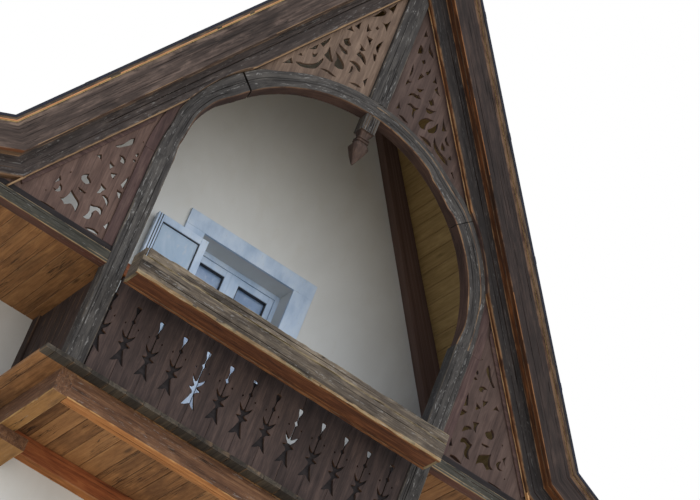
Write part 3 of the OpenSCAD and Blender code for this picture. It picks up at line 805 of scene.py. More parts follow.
def flashing(name, side):
    """folded metal along the verge, lapped every metre or so"""
    piece = Piece("flashing_" + name, "verge_flashing_" + name, slot="sheet_metal")
    sheet = profile(folded(-.0045, -.0005, .0175, -.0140, -.0100, .1700), .0012, .1)
    sweep(piece, down_roof(side), 0., SLOPE, sheet, .3, stops=(UPPER,), seed=9, rough=.0003)
    lap = profile(folded(-.0060, -.0040, .0190, -.0155, -.0136, .1720), .0006, .1)
    for i, s in enumerate((.9, 1.95, 3.0, 4.05)):
        sweep(piece, down_roof(side), s, s + .06, lap, .06, seed=20 + i, rough=.0002)
    piece.done()


def barge_board(name, side):
    right = side > 0
    # On the right the barge takes its darker copy: painted shade
    piece = Piece("barge_" + name, "barge_board_" + name, slot="rake_timber",
                  mat="barge_timber_shaded_right" if right else "barge_timber")
    back = FRONT + .050
    corners = [(BOARDS, FRONT), (BOARDS + .022, FRONT), (BARGE, FRONT), (BARGE, back), (BOARDS, back)]
    cracks = [(1, .148, .005, .006, .9, 2.2), (1, .128, .005, .006, 3.1, 4.5)]
    for place, width, depth, share in ((.016, .005, .007, .34), (.034, .005, .007, .32),
                                       (.062, .004, .006, .25), (.098, .004, .005, .28)):
        cracks.append((1, place, width, depth, .1, 5.3, share))

    # The barge's lower front arris is lighter in stretches: a painted highlight
    def highlit_arris(s):
        if wave(s, 45, .3) > -.1:
            return "arris_timber_right" if right else "arris_timber"

    sides = {("lip", 1): highlit_arris}
    if right:
        # On the right the barge's top strip takes the darker lath copy (painted shade), and its underside
        # sheltered wood that is partly painted warm light from below
        sides.update({0: "verge_lath_right", 2: "sheltered_timber"})
    sweep(piece, down_roof(side), 0., SLOPE, profile(corners, .004, .045, cracks), .07, stops=(UPPER,),
          seed=31 + side, rough=.0025, sides=sides)
    piece.done()


def front_rafter(name, side):
    """the rafter behind the barge board, with a lath from its bend down to the tie beam"""
    right = side > 0
    # On the right the rafter takes its darker copy: painted shade
    piece = Piece("rafter_" + name, "front_rafter_" + name, slot="rake_timber",
                  mat="rake_timber_shaded_right" if right else "rake_timber")
    corners = [(BOARDS, FRONT + .05), (BARGE, FRONT + .05), (BARGE, FRONT + .11),
               (RAFTER - .009, FRONT + .11), (RAFTER, FRONT + .118), (RAFTER, SCREEN_BACK),
               (BOARDS, SCREEN_BACK)]
    cracks = [(2, .055, .009, .014, .15, 3.9), (2, .10, .006, .008, 2.6, 5.1),
              (2, .025, .005, .006, .9, 1.9)]
    foot = UPPER * FOOT_X / bend(RAFTER)

    def at_arch(s):
        return abs(s - foot) < .37

    # The left rafter's lower arris: a painted highlight up to the bend, near-black painted shade beside the
    # arch
    def left_arris(s):
        if at_arch(s):
            return "lining_boards"
        return "arris_timber" if s < UPPER else None

    def right_arris(s):
        return "fretwork_border" if at_arch(s) else "sheltered_timber"

    # A tan line along the right rafter's underside up to the bend: a painted highlight
    def bright_line(s):
        return "sheltered_tan" if s < UPPER and not at_arch(s) else "fretwork_border"

    sides = {3: left_arris}
    if right:
        # On the right the rafter's undersides are sheltered wood partly painted with warm light from below,
        # with a painted highlight line
        corners[5:5] = [(RAFTER, FRONT + .146), (RAFTER, FRONT + .155)]
        sides = {1: "sheltered_timber", 3: right_arris, 4: right_arris, 5: bright_line,
                 6: "fretwork_border"}
    fitted = down_roof(side, lambda s, depth: above_tie(s, beside_arch(s, depth)))
    stops = (UPPER, *(foot + .035 * i for i in range(-14, 15)))
    sweep(piece, fitted, 0., SLOPE, profile(corners, .003, .045, cracks), .07, stops=stops,
          seed=41 + side, rough=.0025, sides=sides)

    x0 = bend(RAFTER)
    z0 = steep_z(RAFTER, x0)

    def past_bend(s, v, w):
        x = x0 + s * math.cos(PITCH) + v * math.sin(PITCH)
        return side * x, w, z0 - s * math.sin(PITCH) + v * math.cos(PITCH)

    # The lath past the bend takes a highlight colour: a painted highlight
    lath = profile(box(-.004, .010, FRONT + .119, SCREEN + .016), .002, .05)
    sweep(piece, past_bend, -.02, (z0 - TIE_TOP) / math.sin(PITCH), lath, .04, seed=43,
          mat="sheltered_tan" if right else "arris_timber")
    piece.done()


def wall_rafter(name, side):
    """the rafter on the wall, which on the right grows deeper down to the bend"""
    piece = Piece("wall_rafter_timber_" + name, "wall_rafter_" + name, slot="rake_timber",
                  mat="wall_rafter_timber")
    depth = BOARDS + .10
    low_depth = depth + (.15 if side > 0 else 0.)
    low_bend = bend(low_depth)
    z_top, z_bend = steep_z(depth, 0.), steep_z(low_depth, low_bend)

    def place(s, v, w):
        """s is 1 at the bend and 2 at the end, v runs from the upper to the lower side"""
        x0 = np.where(s < 1, s * bend(BOARDS), bend(BOARDS) + (s - 1) * (WALL_HALF - bend(BOARDS)))
        z0 = np.where(s < 1, steep_z(BOARDS, x0), kick_z(BOARDS, x0))
        x1 = np.where(s < 1, s * low_bend, low_bend + (s - 1) * (WALL_HALF - low_bend))
        z1 = np.where(s < 1, z_top + s * (z_bend - z_top), kick_z(low_depth, x1))
        return side * (x0 + v * (x1 - x0)), w, z0 + v * (z1 - z0)

    sweep(piece, place, 0., 2., profile(box(0., 1., WALL - .1, WALL), .03, .25), .02, stops=(1.,),
          seed=51 + side, rough=.01)
    piece.done()


def ridge_purlin():
    piece = Piece("ridge_purlin_timber", "ridge_purlin", slot="roof_boards")
    half, height = .07, .20
    z = steep_z(BOARDS, half)
    corners = [(-half, z - height), (half, z - height), (half, z), (0., steep_z(BOARDS, 0.)), (-half, z)]
    sweep(piece, along_y, SCREEN_BACK, WALL - .1, profile(corners, .005, .06), .1, seed=61, rough=.001)
    piece.done()


def ridge_cap():
    piece = Piece("ridge_cap_sheet", "ridge_cap", slot="sheet_metal")

    def bent_sheet(under, top, inner, outer):
        """under and top are heights above the roof, inner and outer what the edges reach out and up"""
        x, z = .13, APEX - .13 * math.tan(PITCH)
        (x0, z0), (x1, z1) = (x + inner[0], z + inner[1]), (x + outer[0], z + outer[1])
        low, high = APEX + under / math.cos(PITCH), APEX + top / math.cos(PITCH)
        return [(0., low), (x0, z0), (x1, z1), (0., high), (-x1, z1), (-x0, z0)]

    sheet = profile(bent_sheet(0., .012, (0., 0.), (.008, .006)), .001, .2)
    sweep(piece, along_y, FRONT + .17, 0., sheet, .2, seed=62, rough=.0003)
    lap = profile(bent_sheet(.011, .015, (.007, .006), (.010, .009)), .0005, .2)
    for y in (-1.2, -.62):
        sweep(piece, along_y, y, y + .04, lap, .04, seed=63, rough=.0002)
    piece.done()


# Gable screen
def king_post():
    piece = Piece("king_post_timber", "king_post", slot="screen_timber")

    def place(s, v, w):
        z0 = SPRING + np.sqrt((ARCH_OUT - .004) ** 2 - v ** 2)
        return v, w, z0 + s * (steep_z(RAFTER, np.abs(v)) - z0)

    cracks = [(0, .055, .006, .008, .2, .8), (0, .12, .006, .008, .0, .6)]
    timber = profile(box(-KING_HALF, KING_HALF, SCREEN, SCREEN_BACK), .005, .0425, cracks)
    sweep(piece, place, 0., 1., timber, .05, seed=71, rough=.0015)
    piece.done()


def hump(a, a0, a1, a2, a3):
    """0 up to a0 and from a3 on, 1 between a1 and a2"""
    q = np.minimum(np.clip((a - a0) / (a1 - a0), 0, 1), np.clip((a3 - a) / (a3 - a2), 0, 1))
    return q * q * (3 - 2 * q)


ARCH_MID = 1.43


def on_arch(side):
    """s is measured round the arch from its post at the radius ARCH_MID"""
    def place(s, v, w):
        turn = s / ARCH_MID
        a = np.degrees(turn)
        outer = ARCH_OUT + (ARCH_WIDE - ARCH_OUT) * hump(a, 10, 19, 48, 57)
        inner = ARCH_IN + (.032 * hump(a, 10, 22, 27, 38) if side < 0 else 0.)
        bevel = .025 * (1 - hump(a, 46, 50, 60, 64) * (side > 0)) * hump(a, 0, 9, 98, 99)
        k = (v - ARCH_IN) / (ARCH_OUT - ARCH_IN)
        slant = bevel * (1 - k) * (1 - (w - SCREEN) / (SCREEN_BACK - SCREEN))
        r = inner + k * (outer - inner) + slant
        return side * r * np.cos(turn), w, SPRING + r * np.sin(turn)
    return place


def arch(name, side):
    """half of the arch, of two timbers with an open joint"""
    right = side > 0
    piece = Piece("arch_timber_" + name, "arch_" + name, slot="screen_timber")
    top = ARCH_MID * math.pi / 2
    joint, gap = (ARCH_MID * rad(43.5), .003) if right else (ARCH_MID * rad(42.7), .009)
    corners = box(ARCH_IN, ARCH_OUT, SCREEN, SCREEN_BACK)
    sides = {3: "screen_inner", ("lip", 3): "screen_inner"}
    if right:
        corners[1:2] = [(ARCH_OUT - .052, SCREEN), (ARCH_OUT - .049, SCREEN + .006),
                        (ARCH_OUT, SCREEN + .006)]
        sides = {5: "screen_inner", 1: "screen_bevel", ("lip", 5): "screen_bevel"}
    cracks = [(0, .04, .007, .010, .2, .9), (0, .085, .006, .009, .6, 1.6), (0, .065, .006, .008, 1.2, 2.1)]
    timber = profile(corners, .006, .04, cracks)
    sweep(piece, on_arch(side), 0., joint - gap, timber, .045, tint=.42, seed=81, rough=.003, sides=sides)
    sweep(piece, on_arch(side), joint + gap, top, timber, .045, tint=.56, seed=82, rough=.003, sides=sides,
          grain=(1., 0.) if right else (-1., 2 * top))
    if not right:
        filler = profile(box(ARCH_IN + .02, ARCH_OUT - .012, SCREEN + .028, SCREEN_BACK - .004), .002, .1)
        sweep(piece, on_arch(side), joint - .04, joint + .04, filler, .04, seed=85, mat="screen_inner")
    piece.done()


def post(name, side):
    piece = Piece("post_timber_" + name, "post_" + name, slot="screen_timber")
    cracks = [(0, .05, .007, .010, 1.2, 2.4), (0, .11, .006, .009, 1.6, 2.75),
              (0, .03, .006, .008, .9, 1.7)]
    outline = profile(box(*on_side(side, ARCH_IN, ARCH_OUT), SCREEN, POST_BACK), .006, .045, cracks)
    sweep(piece, along_z, FLOOR, SPRING - .001, outline, .07, seed=91 + side, rough=.0025)
    piece.done()


def tie_beam(name, side):
    piece = Piece("tie_timber_" + name, "tie_beam_" + name, slot="screen_timber", mat="tie_timber")

    def place(s, v, w):
        return side * (ARCH_OUT + s * (kick_x(RAFTER, v) - ARCH_OUT)), w, v

    lip = .028
    corners = [(TIE_LOW, SCREEN - .012), (TIE_LOW + lip, SCREEN - .012), (TIE_LOW + lip, SCREEN),
               (TIE_TOP, SCREEN), (TIE_TOP, SCREEN_BACK), (TIE_LOW, SCREEN_BACK)]
    # The lower front arris takes the light box arris colour: a painted highlight
    sweep(piece, place, 0., 1., profile(corners, .004, .04, [(2, .05, .006, .008, .1, .9)]), .06,
          seed=95 + side, rough=.0015, sides={("lip", 5): "box_arris"})
    piece.done()


# Sawn boards
def smooth(corners):
    """a closed outline through the points, round except at sharp turns"""
    sharp, parts = 62, 4
    p = np.array(corners, float)
    n = len(p)
    tangents = []
    for i in range(n):
        a, b = p[i] - p[i - 1], p[(i + 1) % n] - p[i]
        cosine = np.dot(a, b) / (np.linalg.norm(a) * np.linalg.norm(b) + 1e-12)
        turn = math.degrees(math.acos(np.clip(cosine, -1, 1)))
        tangents.append(None if turn > sharp else (p[(i + 1) % n] - p[i - 1]) / 2)
    out = []
    for i in range(n):
        a, b = p[i], p[(i + 1) % n]
        leave = b - a if tangents[i] is None else tangents[i]
        reach = b - a if tangents[(i + 1) % n] is None else tangents[(i + 1) % n]
        for t in [j / parts for j in range(parts)]:
            near, far = 2 * t**3 - 3 * t**2 + 1, -2 * t**3 + 3 * t**2
            out.append(near * a + (t**3 - 2 * t**2 + t) * leave + far * b + (t**3 - t**2) * reach)
    return np.array(out)


def filled(outline, holes, thickness, bevel):
    """points and faces of a flat plate with holes, made from a filled curve"""
    curve = bpy.data.curves.new("sawn", "CURVE")
    curve.dimensions = "2D"
    curve.fill_mode = "BOTH"
    curve.extrude = thickness / 2 - bevel
    curve.bevel_depth = bevel
    curve.bevel_resolution = 0
    curve.offset = -bevel
    for corners in [outline] + list(holes):
        spline = curve.splines.new("POLY")
        spline.points.add(len(corners) - 1)
        for point, (x, z) in zip(spline.points, corners):
            point.co = (x, z, 0, 1)
        spline.use_cyclic_u = True
    ob = bpy.data.objects.new("sawn", curve)
    scene.collection.objects.link(ob)
    me = bpy.data.meshes.new_from_object(ob.evaluated_get(bpy.context.evaluated_depsgraph_get()))
    points = np.zeros(len(me.vertices) * 3)
    me.vertices.foreach_get("co", points)
    faces = [tuple(f.vertices) for f in me.polygons]
    bpy.data.objects.remove(ob)
    bpy.data.curves.remove(curve)
    bpy.data.meshes.remove(me)
    return points.reshape(-1, 3), faces


def sawn(piece, outline, holes, y0, y1, tint=.5, seed=1, upright=True, mat=None, bevel=.002):
    """a board with its outline and holes in the x-z plane between two depths"""
    flat, faces = filled(outline, holes, y1 - y0, bevel)
    points = np.stack([flat[:, 0], (y0 + y1) / 2 + flat[:, 2], flat[:, 1]], -1)
    wood_place = points[:, (2, 0, 1) if upright else (0, 2, 1)]
    # The cut faces count as edges, so the wood lightens them: partly wear, partly a painted highlight
    rim = (np.abs(flat[:, 2]) < (y1 - y0) / 2 - bevel * .5).astype(float)
    look = np.stack([np.full(len(flat), tint), rim * .5, np.zeros(len(flat))], -1)
    piece.add(points, faces, wood_place + np.random.default_rng(seed).uniform(0, 40, 3), look, mat)


def arc(r, turns):
    """points round the arch's centre at a radius, or at one for each turn"""
    pairs = zip(np.broadcast_to(r, len(turns)), turns)
    return [(q * math.cos(a), SPRING + q * math.sin(a)) for q, a in pairs]


def on_panel(side, corners):
    return [(side * x, z) for x, z in corners]


def sawn_holes(side, holes):
    return [smooth([(side * x / 1000, SPRING + z / 1000) for x, z in hole]) for hole in holes]


FRET_FRONT = SCREEN + .040
FRET_BACK = SCREEN + .070


def fretwork_upper(name, side):
    """the panel between king post, arch and rafter"""
    # On the right the panel takes the darker fretwork copy: painted shade
    piece = Piece("fret_up_" + name, "fretwork_upper_" + name, slot="fretwork",
                  mat="fretwork" if side < 0 else "fretwork_shaded_right")
    tip = 1.1219
    outline = [(KING_HALF, steep_z(RAFTER, KING_HALF)), (tip, steep_z(RAFTER, tip))]
    outline += arc(ARCH_OUT, np.linspace(math.acos(tip / ARCH_OUT), math.acos(KING_HALF / ARCH_OUT), 28))
    holes = sawn_holes(side, UPPER_LEFT_HOLES if side < 0 else UPPER_RIGHT_HOLES)
    sawn(piece, on_panel(side, outline), holes, FRET_FRONT, FRET_BACK, seed=7 + side)
    piece.done()


def fretwork_lower(name, side):
    """the panel between post, arch, rafter and tie beam, with plain strips round it; the strip along the
    tie beam is near-black, a painted shadow
    """
    # On the right the panel takes the darker fretwork copy: painted shade
    piece = Piece("fret_low_" + name, "fretwork_lower_" + name, slot="fretwork",
                  mat="fretwork_low" if side < 0 else "fretwork_shaded_right")
    tip, bend_x = 1.3819, bend(RAFTER)
    bend_z = steep_z(RAFTER, bend_x)
    outline = [(tip, steep_z(RAFTER, tip)), (bend_x, bend_z), (kick_x(RAFTER, TIE_TOP), TIE_TOP),
               (ARCH_OUT, TIE_TOP), (ARCH_OUT, SPRING)]
    outline += arc(ARCH_OUT, np.linspace(.02, math.acos(tip / ARCH_OUT), 12))
    holes = sawn_holes(side, LOWER_HOLES)
    sawn(piece, on_panel(side, outline), holes, FRET_FRONT, FRET_BACK, seed=17 + side)

    width, low_width, under_rafter = .088, .058, .030
    turns = np.linspace(0, math.acos(tip / ARCH_OUT) - .01, 12)
    ends = [min(ARCH_OUT + width, FOOT_R / math.cos(a - (math.pi / 2 - PITCH)) + .015) for a in turns]
    x0, x1, low_z = ARCH_OUT + .0005, ARCH_OUT + width, TIE_TOP + low_width
    depth, x2 = RAFTER + under_rafter, x1 + .004
    strips = [
        arc(ARCH_OUT, turns) + arc(ends[::-1], turns[::-1]),
        [(x0, low_z + .001), (x1, low_z + .001), (x1, SPRING - .001), (x0, SPRING - .001)],
        [(x2, steep_z(RAFTER, x2)), (bend_x, bend_z), (bend(depth), steep_z(depth, bend(depth))),
         (x2, steep_z(depth, x2))],
        [(x0, TIE_TOP), (kick_x(RAFTER, TIE_TOP) - .03, TIE_TOP), (kick_x(RAFTER, low_z) - .03, low_z),
         (x0, low_z)]]
    # The last strip, along the tie beam, is near-black: a painted shadow
    for i, strip in enumerate(strips):
        sawn(piece, on_panel(side, strip), [], FRET_FRONT - .016, FRET_FRONT - .0005, seed=27 + i,
             upright=i < 2, mat="fretwork_border" if i < 3 else "lining_boards")
    piece.done()


def loft(piece, levels, y, seed, mat):
    """square sections with cut corners round x = 0, one above the other: (z, half width, corner)"""
    points = []
    for z, h, c in levels:
        t = h - c
        ring = ((-t, -h), (t, -h), (h, -t), (h, t), (t, h), (-t, h), (-h, t), (-h, -t))
        points += [(x, y + dy, z) for x, dy in ring]
    n = 8
    faces = [(i * n + j, i * n + (j + 1) % n, (i + 1) * n + (j + 1) % n, (i + 1) * n + j)
             for i in range(len(levels) - 1) for j in range(n)]
    faces += [tuple(range(n - 1, -1, -1)), tuple(range(len(points) - n, len(points)))]
    points = np.array(points)
    wood_place = points[:, (2, 0, 1)] + np.random.default_rng(seed).uniform(0, 40, 3)
    piece.add(points, faces, wood_place, np.tile((.5, .35, 0), (len(points), 1)), mat)


def pendant():
    """a block of grooved boards under the arch's top, and a turned drop below it"""
    piece = Piece("pendant_carved", "pendant", slot="screen_timber")
    y, top = SCREEN + .05, SPRING + ARCH_IN + .01
    half, boards, groove, deep = .064, 6, .005, .007
    face = []
    for i in range(boards):
        a, b = -half + 2 * half * i / boards, -half + 2 * half * (i + 1) / boards
        face += [(a + groove / 2, -half), (b - groove / 2, -half), (b, -half + deep)]
    face.pop()
    ring = face + [(-v, u) for u, v in face] + [(-u, -v) for u, v in face] + [(v, -u) for u, v in face]
    # The groove sides are near-black: painted shade in the grooves
    grooves = {len(face) * j + 3 * i + k: "lining_boards"
               for j in range(4) for i in range(boards - 1) for k in (1, 2)}
    block = profile([(u, v + y) for u, v in ring], .001, .2)
    sweep(piece, along_z, top - .150, top, block, .07, seed=5, rough=.0004, sides=grooves)
    drop = ((.150, .060, .004), (.158, .050, .006), (.176, .046, .010), (.190, .041, .012),
            (.206, .041, .012), (.212, .052, .014), (.222, .0545, .014), (.229, .044, .014),
            (.236, .0545, .014), (.247, .052, .014), (.254, .044, .014), (.266, .056, .018),
            (.292, .068, .020), (.304, .068, .020), (.384, .040, .012), (.455, .008, .002),
            (.457, .005, .001))
    loft(piece, [(top - down, h, c) for down, h, c in drop], y, 5, "pendant_drop")
    piece.done()


def eave(name, side):
    """soffit boards, which run past the wall's end outside it, and the fascia"""
    piece = Piece("eave_" + name, "eave_box_" + name, slot="under_boards")
    rng = np.random.default_rng(70 + side)
    outside = EAVE_X - .0205
    edges = [*np.linspace(PANEL_IN, WALL_HALF, 12), *np.linspace(WALL_HALF, outside, 6)[1:]]
    for k, (a, b) in enumerate(zip(edges, edges[1:])):
        start = SCREEN_BACK if a + .05 > ARCH_OUT else POST_BACK
        end = 0. if a > WALL_HALF - .01 else WALL
        board = profile(box(*on_side(side, a + .001, b - .001), SOFFIT, SOFFIT + .02), .004, .06)
        sweep(piece, along_y, start, end, board, .2, tint=rng.uniform(.3, .75),
              seed=200 + k + 40 * (side > 0))
    fascia = profile(box(*on_side(side, EAVE_X - .02, EAVE_X), TIE_LOW, kick_z(BOARDS, EAVE_X)), .003, .06)
    sweep(piece, along_y, SCREEN_BACK, 0., fascia, .1, seed=250 + side, rough=.001)
    piece.done()


# Balcony
BEAM_LOW = .635
BEAM_TOP = .835
BEAM_X = 1.330                   # ends of the front beam and inner sides of the side beams
BEAM_OUT = 1.460
DECK_HALF = 1.670
DECK_FRONT = -1.780
PANEL_T = .030


def floor_beam_front():
    piece = Piece("front_beam_timber", "floor_beam_front", slot="beam_timber")
    outline = profile(box(BEAM_LOW, BEAM_TOP, -1.65, -1.52), .006, .05, [(3, .06, .007, .01, -1.1, .3)])
    # The underside is painted lighter and warmer: painted warm light from below
    sweep(piece, along_x, -BEAM_X, BEAM_X, outline, seed=301, rough=.002,
          sides={3: "beam_underside", ("lip", 3): "beam_underside"})
    piece.done()


def side_beam(name, side):
    """the side beam with the console under its end at the wall"""
    piece = Piece("side_beam_timber_" + name, "side_beam_" + name, slot="beam_timber")
    beam = profile(box(*on_side(side, BEAM_X, BEAM_OUT), BEAM_LOW, BEAM_TOP), .006, .045)
    sweep(piece, along_y, -1.65, WALL, beam, seed=305 + side, rough=.002)
    console = profile(box(*on_side(side, BEAM_OUT - .255, BEAM_OUT), BEAM_LOW - .105, BEAM_LOW), .006, .05)
    sweep(piece, along_y, WALL - .45, WALL, console, seed=309 + side, rough=.002)
    piece.done()


def floor_boards():
    piece = Piece("deck_boards", "floor_boards", slot="under_boards")
    rng = np.random.default_rng(5)
    joints = [-.3505 + .155 * i for i in range(-8, 14)]
    edges = [-DECK_HALF] + [x for x in joints if abs(x) < DECK_HALF - .01] + [DECK_HALF]
    grey_end = -1.652

    def grey_outside(s):
        return "board_ends" if s < grey_end else None

    for k, (a, b) in enumerate(zip(edges, edges[1:])):
        board = profile(box(a + .0015, b - .0015, BEAM_TOP, FLOOR), .004, .05)
        sweep(piece, along_y, DECK_FRONT + rng.uniform(0, .004), WALL, board, .12, stops=(grey_end,),
              tint=rng.uniform(.2, .8), seed=320 + k, cap="board_ends", mat=grey_outside)
    piece.done()


def wall_ledger():
    piece = Piece("ledger_boards", "wall_ledger", slot="beam_timber", mat="ledger_timber")
    outline = profile(box(BEAM_TOP - .165, BEAM_TOP, WALL - .118, WALL), .006, .05)
    sweep(piece, along_x, -BEAM_X, BEAM_X, outline, seed=350, rough=.0015)
    piece.done()


def top_rail():
    piece = Piece("top_rail_timber", "top_rail", slot="rail_timber")
    outline = [(1.752, SCREEN), (1.756, SCREEN + .004), (1.782, SCREEN + .004), (1.786, SCREEN + .010),
               (TIE_TOP, SCREEN + .010), (TIE_TOP, SCREEN_BACK), (TIE_LOW, SCREEN_BACK), (TIE_LOW, SCREEN)]
    sweep(piece, along_x, -ARCH_IN, ARCH_IN, profile(outline, .002, .05), seed=360, rough=.001)
    piece.done()


# Half of the sawn plant between two boards: mm from the joint, and height
PLANT = ((0, 1.545), (10, 1.544), (19, 1.540), (20, 1.524), (15, 1.502), (8, 1.486), (5, 1.476), (4, 1.470),
         (4, 1.430), (9, 1.424), (18, 1.410), (9, 1.396), (4, 1.391), (4, 1.285), (9, 1.270), (22, 1.276),
         (42, 1.296), (58, 1.314), (52, 1.288), (38, 1.258), (22, 1.239), (14, 1.228), (22, 1.216),
         (40, 1.213), (53, 1.205), (38, 1.191), (20, 1.182), (12, 1.170), (12, 1.156), (17, 1.148),
         (28, 1.112), (43, 1.075), (58, 1.038), (40, 1.045), (20, 1.059), (8, 1.071), (0, 1.074))
RAIL_BOARD_W = .213
# The lining behind the boards, from x to x and up to z, leaves only the tops of most of the cuts open. Its
# near-black colour is painted shade seen through the cuts
LINING = ((-ARCH_IN, -1.02, 1.56), (-1.02, -.57, 1.455), (-.40, -.16, 1.40), (-.16, .05, 1.53),
          (.05, .27, 1.56), (.27, .44, 1.24), (.44, .90, 1.455), (.90, ARCH_IN, 1.50))


def balustrade():
    """boards whose sawn edges meet in a plant pattern"""
    piece = Piece("balustrade_boards", "balustrade", slot="rail_boards")
    rng = np.random.default_rng(9)
    edges = [-ARCH_IN] + [-.484 + RAIL_BOARD_W * i for i in range(-4, 9)] + [ARCH_IN]
    last = len(edges) - 2
    for k, (a, b) in enumerate(zip(edges, edges[1:])):
        if b - a < .05:
            continue
        left = [(a + max(u, 1.) / 1000, z) for u, z in PLANT]
        right = [(b - max(u, 1.) / 1000, z) for u, z in reversed(PLANT)]
        outline = [(a, TIE_LOW), (a, FLOOR)] if k == 0 else [(a + .001, TIE_LOW), *left, (a + .001, FLOOR)]
        outline += ([(b, FLOOR), (b, TIE_LOW)] if k == last
                    else [(b - .001, FLOOR), *right, (b - .001, TIE_LOW)])
        eyes = [a + .057] * (k > 0) + [b - .057] * (k < last)
        holes = [[(x, 1.384), (x - .007, 1.373), (x, 1.362), (x + .007, 1.373)]
                 for x in eyes if a + .03 < x < b - .03]
        sawn(piece, outline, holes, SCREEN + .02, SCREEN + .042, tint=rng.uniform(.35, .65), seed=400 + k,
             bevel=.0015)
    # The lining is near-black: painted shade behind the cuts
    for a, b, top in LINING:
        lining = profile(box(FLOOR, top, SCREEN + .0425, SCREEN + .05), .001, .2)
        sweep(piece, along_x, a, b, lining, .3, seed=480, mat="lining_boards")
    piece.done()


def side_panel(name, side):
    """upright boards between the post and a thicker one at the wall"""
    piece = Piece("side_boards_" + name, "side_panel_" + name, slot="rail_boards")
    rng = np.random.default_rng(30 + side)
    across = on_side(side, PANEL_IN, PANEL_IN + PANEL_T)
    edges = np.linspace(POST_BACK, WALL - .13, 10)
    for k, (a, b) in enumerate(zip(edges, edges[1:])):
        board = profile(box(*across, a + .0015, b - .0015), .004, .05)
        sweep(piece, along_z, FLOOR, SOFFIT, board, .12, tint=rng.uniform(.3, .7),
              seed=430 + k + 20 * (side > 0))
    across = on_side(side, PANEL_IN - .020, PANEL_IN + PANEL_T + .020)
    sweep(piece, along_z, FLOOR, SOFFIT, profile(box(*across, WALL - .13, WALL), .005, .05), .1,
          seed=450 + side, rough=.0015)
    piece.done()


# Flower box
BOX_HALF = 1.390
BOX_FRONT = -2.174
BOX_BACK = -1.930
BOX_LOW = 1.536
BOX_TOP = 1.776
BOX_T = .025
BOX_SPLIT = .158                 # height of the lower plank


def face_planks(piece):
    """two planks each in front and behind; the lower front one has a frayed strip along its edge"""
    front, back = (BOX_FRONT, BOX_FRONT + BOX_T), (BOX_BACK - BOX_T, BOX_BACK)
    split = BOX_LOW + BOX_SPLIT

    def frayed(s):
        return "box_arris" if wave(s, 61, .11) > -.2 else None

    corners = box(BOX_LOW, split, *front)
    corners[1:1] = [(BOX_LOW + .020, BOX_FRONT)]
    cracks = ((1, .04, .007, .010, -1.3, .1), (1, .09, .006, .008, .3, 1.3))
    sweep(piece, along_x, -BOX_HALF, BOX_HALF, profile(corners, .005, .035, cracks), .035, seed=516,
          rough=.006, tint=.45, sides={4: "box_underside", ("lip", 4): "box_arris", 0: frayed})
    sweep(piece, along_x, .01 - BOX_HALF, BOX_HALF - .01, profile(box(BOX_LOW, split, *back), .004, .04),
          .06, seed=536, rough=.003, sides={3: "box_underside"})

    low, start, end = split + .002, .028 - BOX_HALF, BOX_HALF - .004
    upper = profile(box(low, BOX_TOP, *front), .005, .035, [(0, .04, .006, .008, -.7, .9)])
    sweep(piece, along_x, start, end, upper, .035, seed=517, rough=.006, tint=.6)
    sweep(piece, along_x, start + .01, end - .01, profile(box(low, BOX_TOP, *back), .004, .04), .06,
          seed=537, rough=.003)


def flower_box():
    """weathered planks with a red brown underside, on three brackets"""
    piece = Piece("flower_box_planks", "flower_box", slot="box_planks")
    face_planks(piece)
    inner = BOX_HALF - BOX_T
    joint = BOX_FRONT + .176
    front_floor = box(BOX_LOW + .002, BOX_LOW + BOX_T, BOX_FRONT + BOX_T + .0015, joint)
    back_floor = box(BOX_LOW + .004, BOX_LOW + BOX_T, joint + .004, BOX_BACK - BOX_T - .003)
    for k, (corners, tint) in enumerate(((front_floor, .5), (back_floor, .65))):
        sweep(piece, along_x, -inner, inner, profile(corners, .003, .04), .06, seed=503 + k, rough=.0015,
              mat="box_underside", tint=tint)
    split = BOX_LOW + BOX_SPLIT
    for side in (-1, 1):
        across = on_side(side, inner, BOX_HALF - .002)
        start, end = BOX_FRONT + BOX_T + .001, BOX_BACK - BOX_T - .001
        lower = profile(box(*across, BOX_LOW, split), .004, .04)
        sweep(piece, along_y, start, end, lower, .05, seed=505 + side, rough=.002)
        upper = profile(box(*across, split + .003, BOX_TOP - .004), .004, .04)
        sweep(piece, along_y, start, end, upper, .05, seed=515 + side, rough=.002, tint=.6)
    for x in (-1., 0., 1.):
        bracket = profile(box(x - .03, x + .03, BOX_LOW + .160, BOX_LOW + .210), .004, .04)
        sweep(piece, along_y, BOX_BACK, SCREEN, bracket, .05, seed=510, rough=.001)
    piece.done()


# Door
DOOR_HALF = .445
DOOR_TOP = 3.275
CASING_W = .180
CASING_TOP = 3.420
CASING_FRONT = WALL - .025
DOOR_FRONT = WALL + .200
DOOR_BACK = WALL + .250
PANE_BACK = WALL + .2665
GASKET = .007


def bar(piece, place, start, end, corners, mat=None, sides=None):
    sweep(piece, place, start, end, profile(corners, .0025, .4), .6, rough=0., mat=mat, sides=sides)


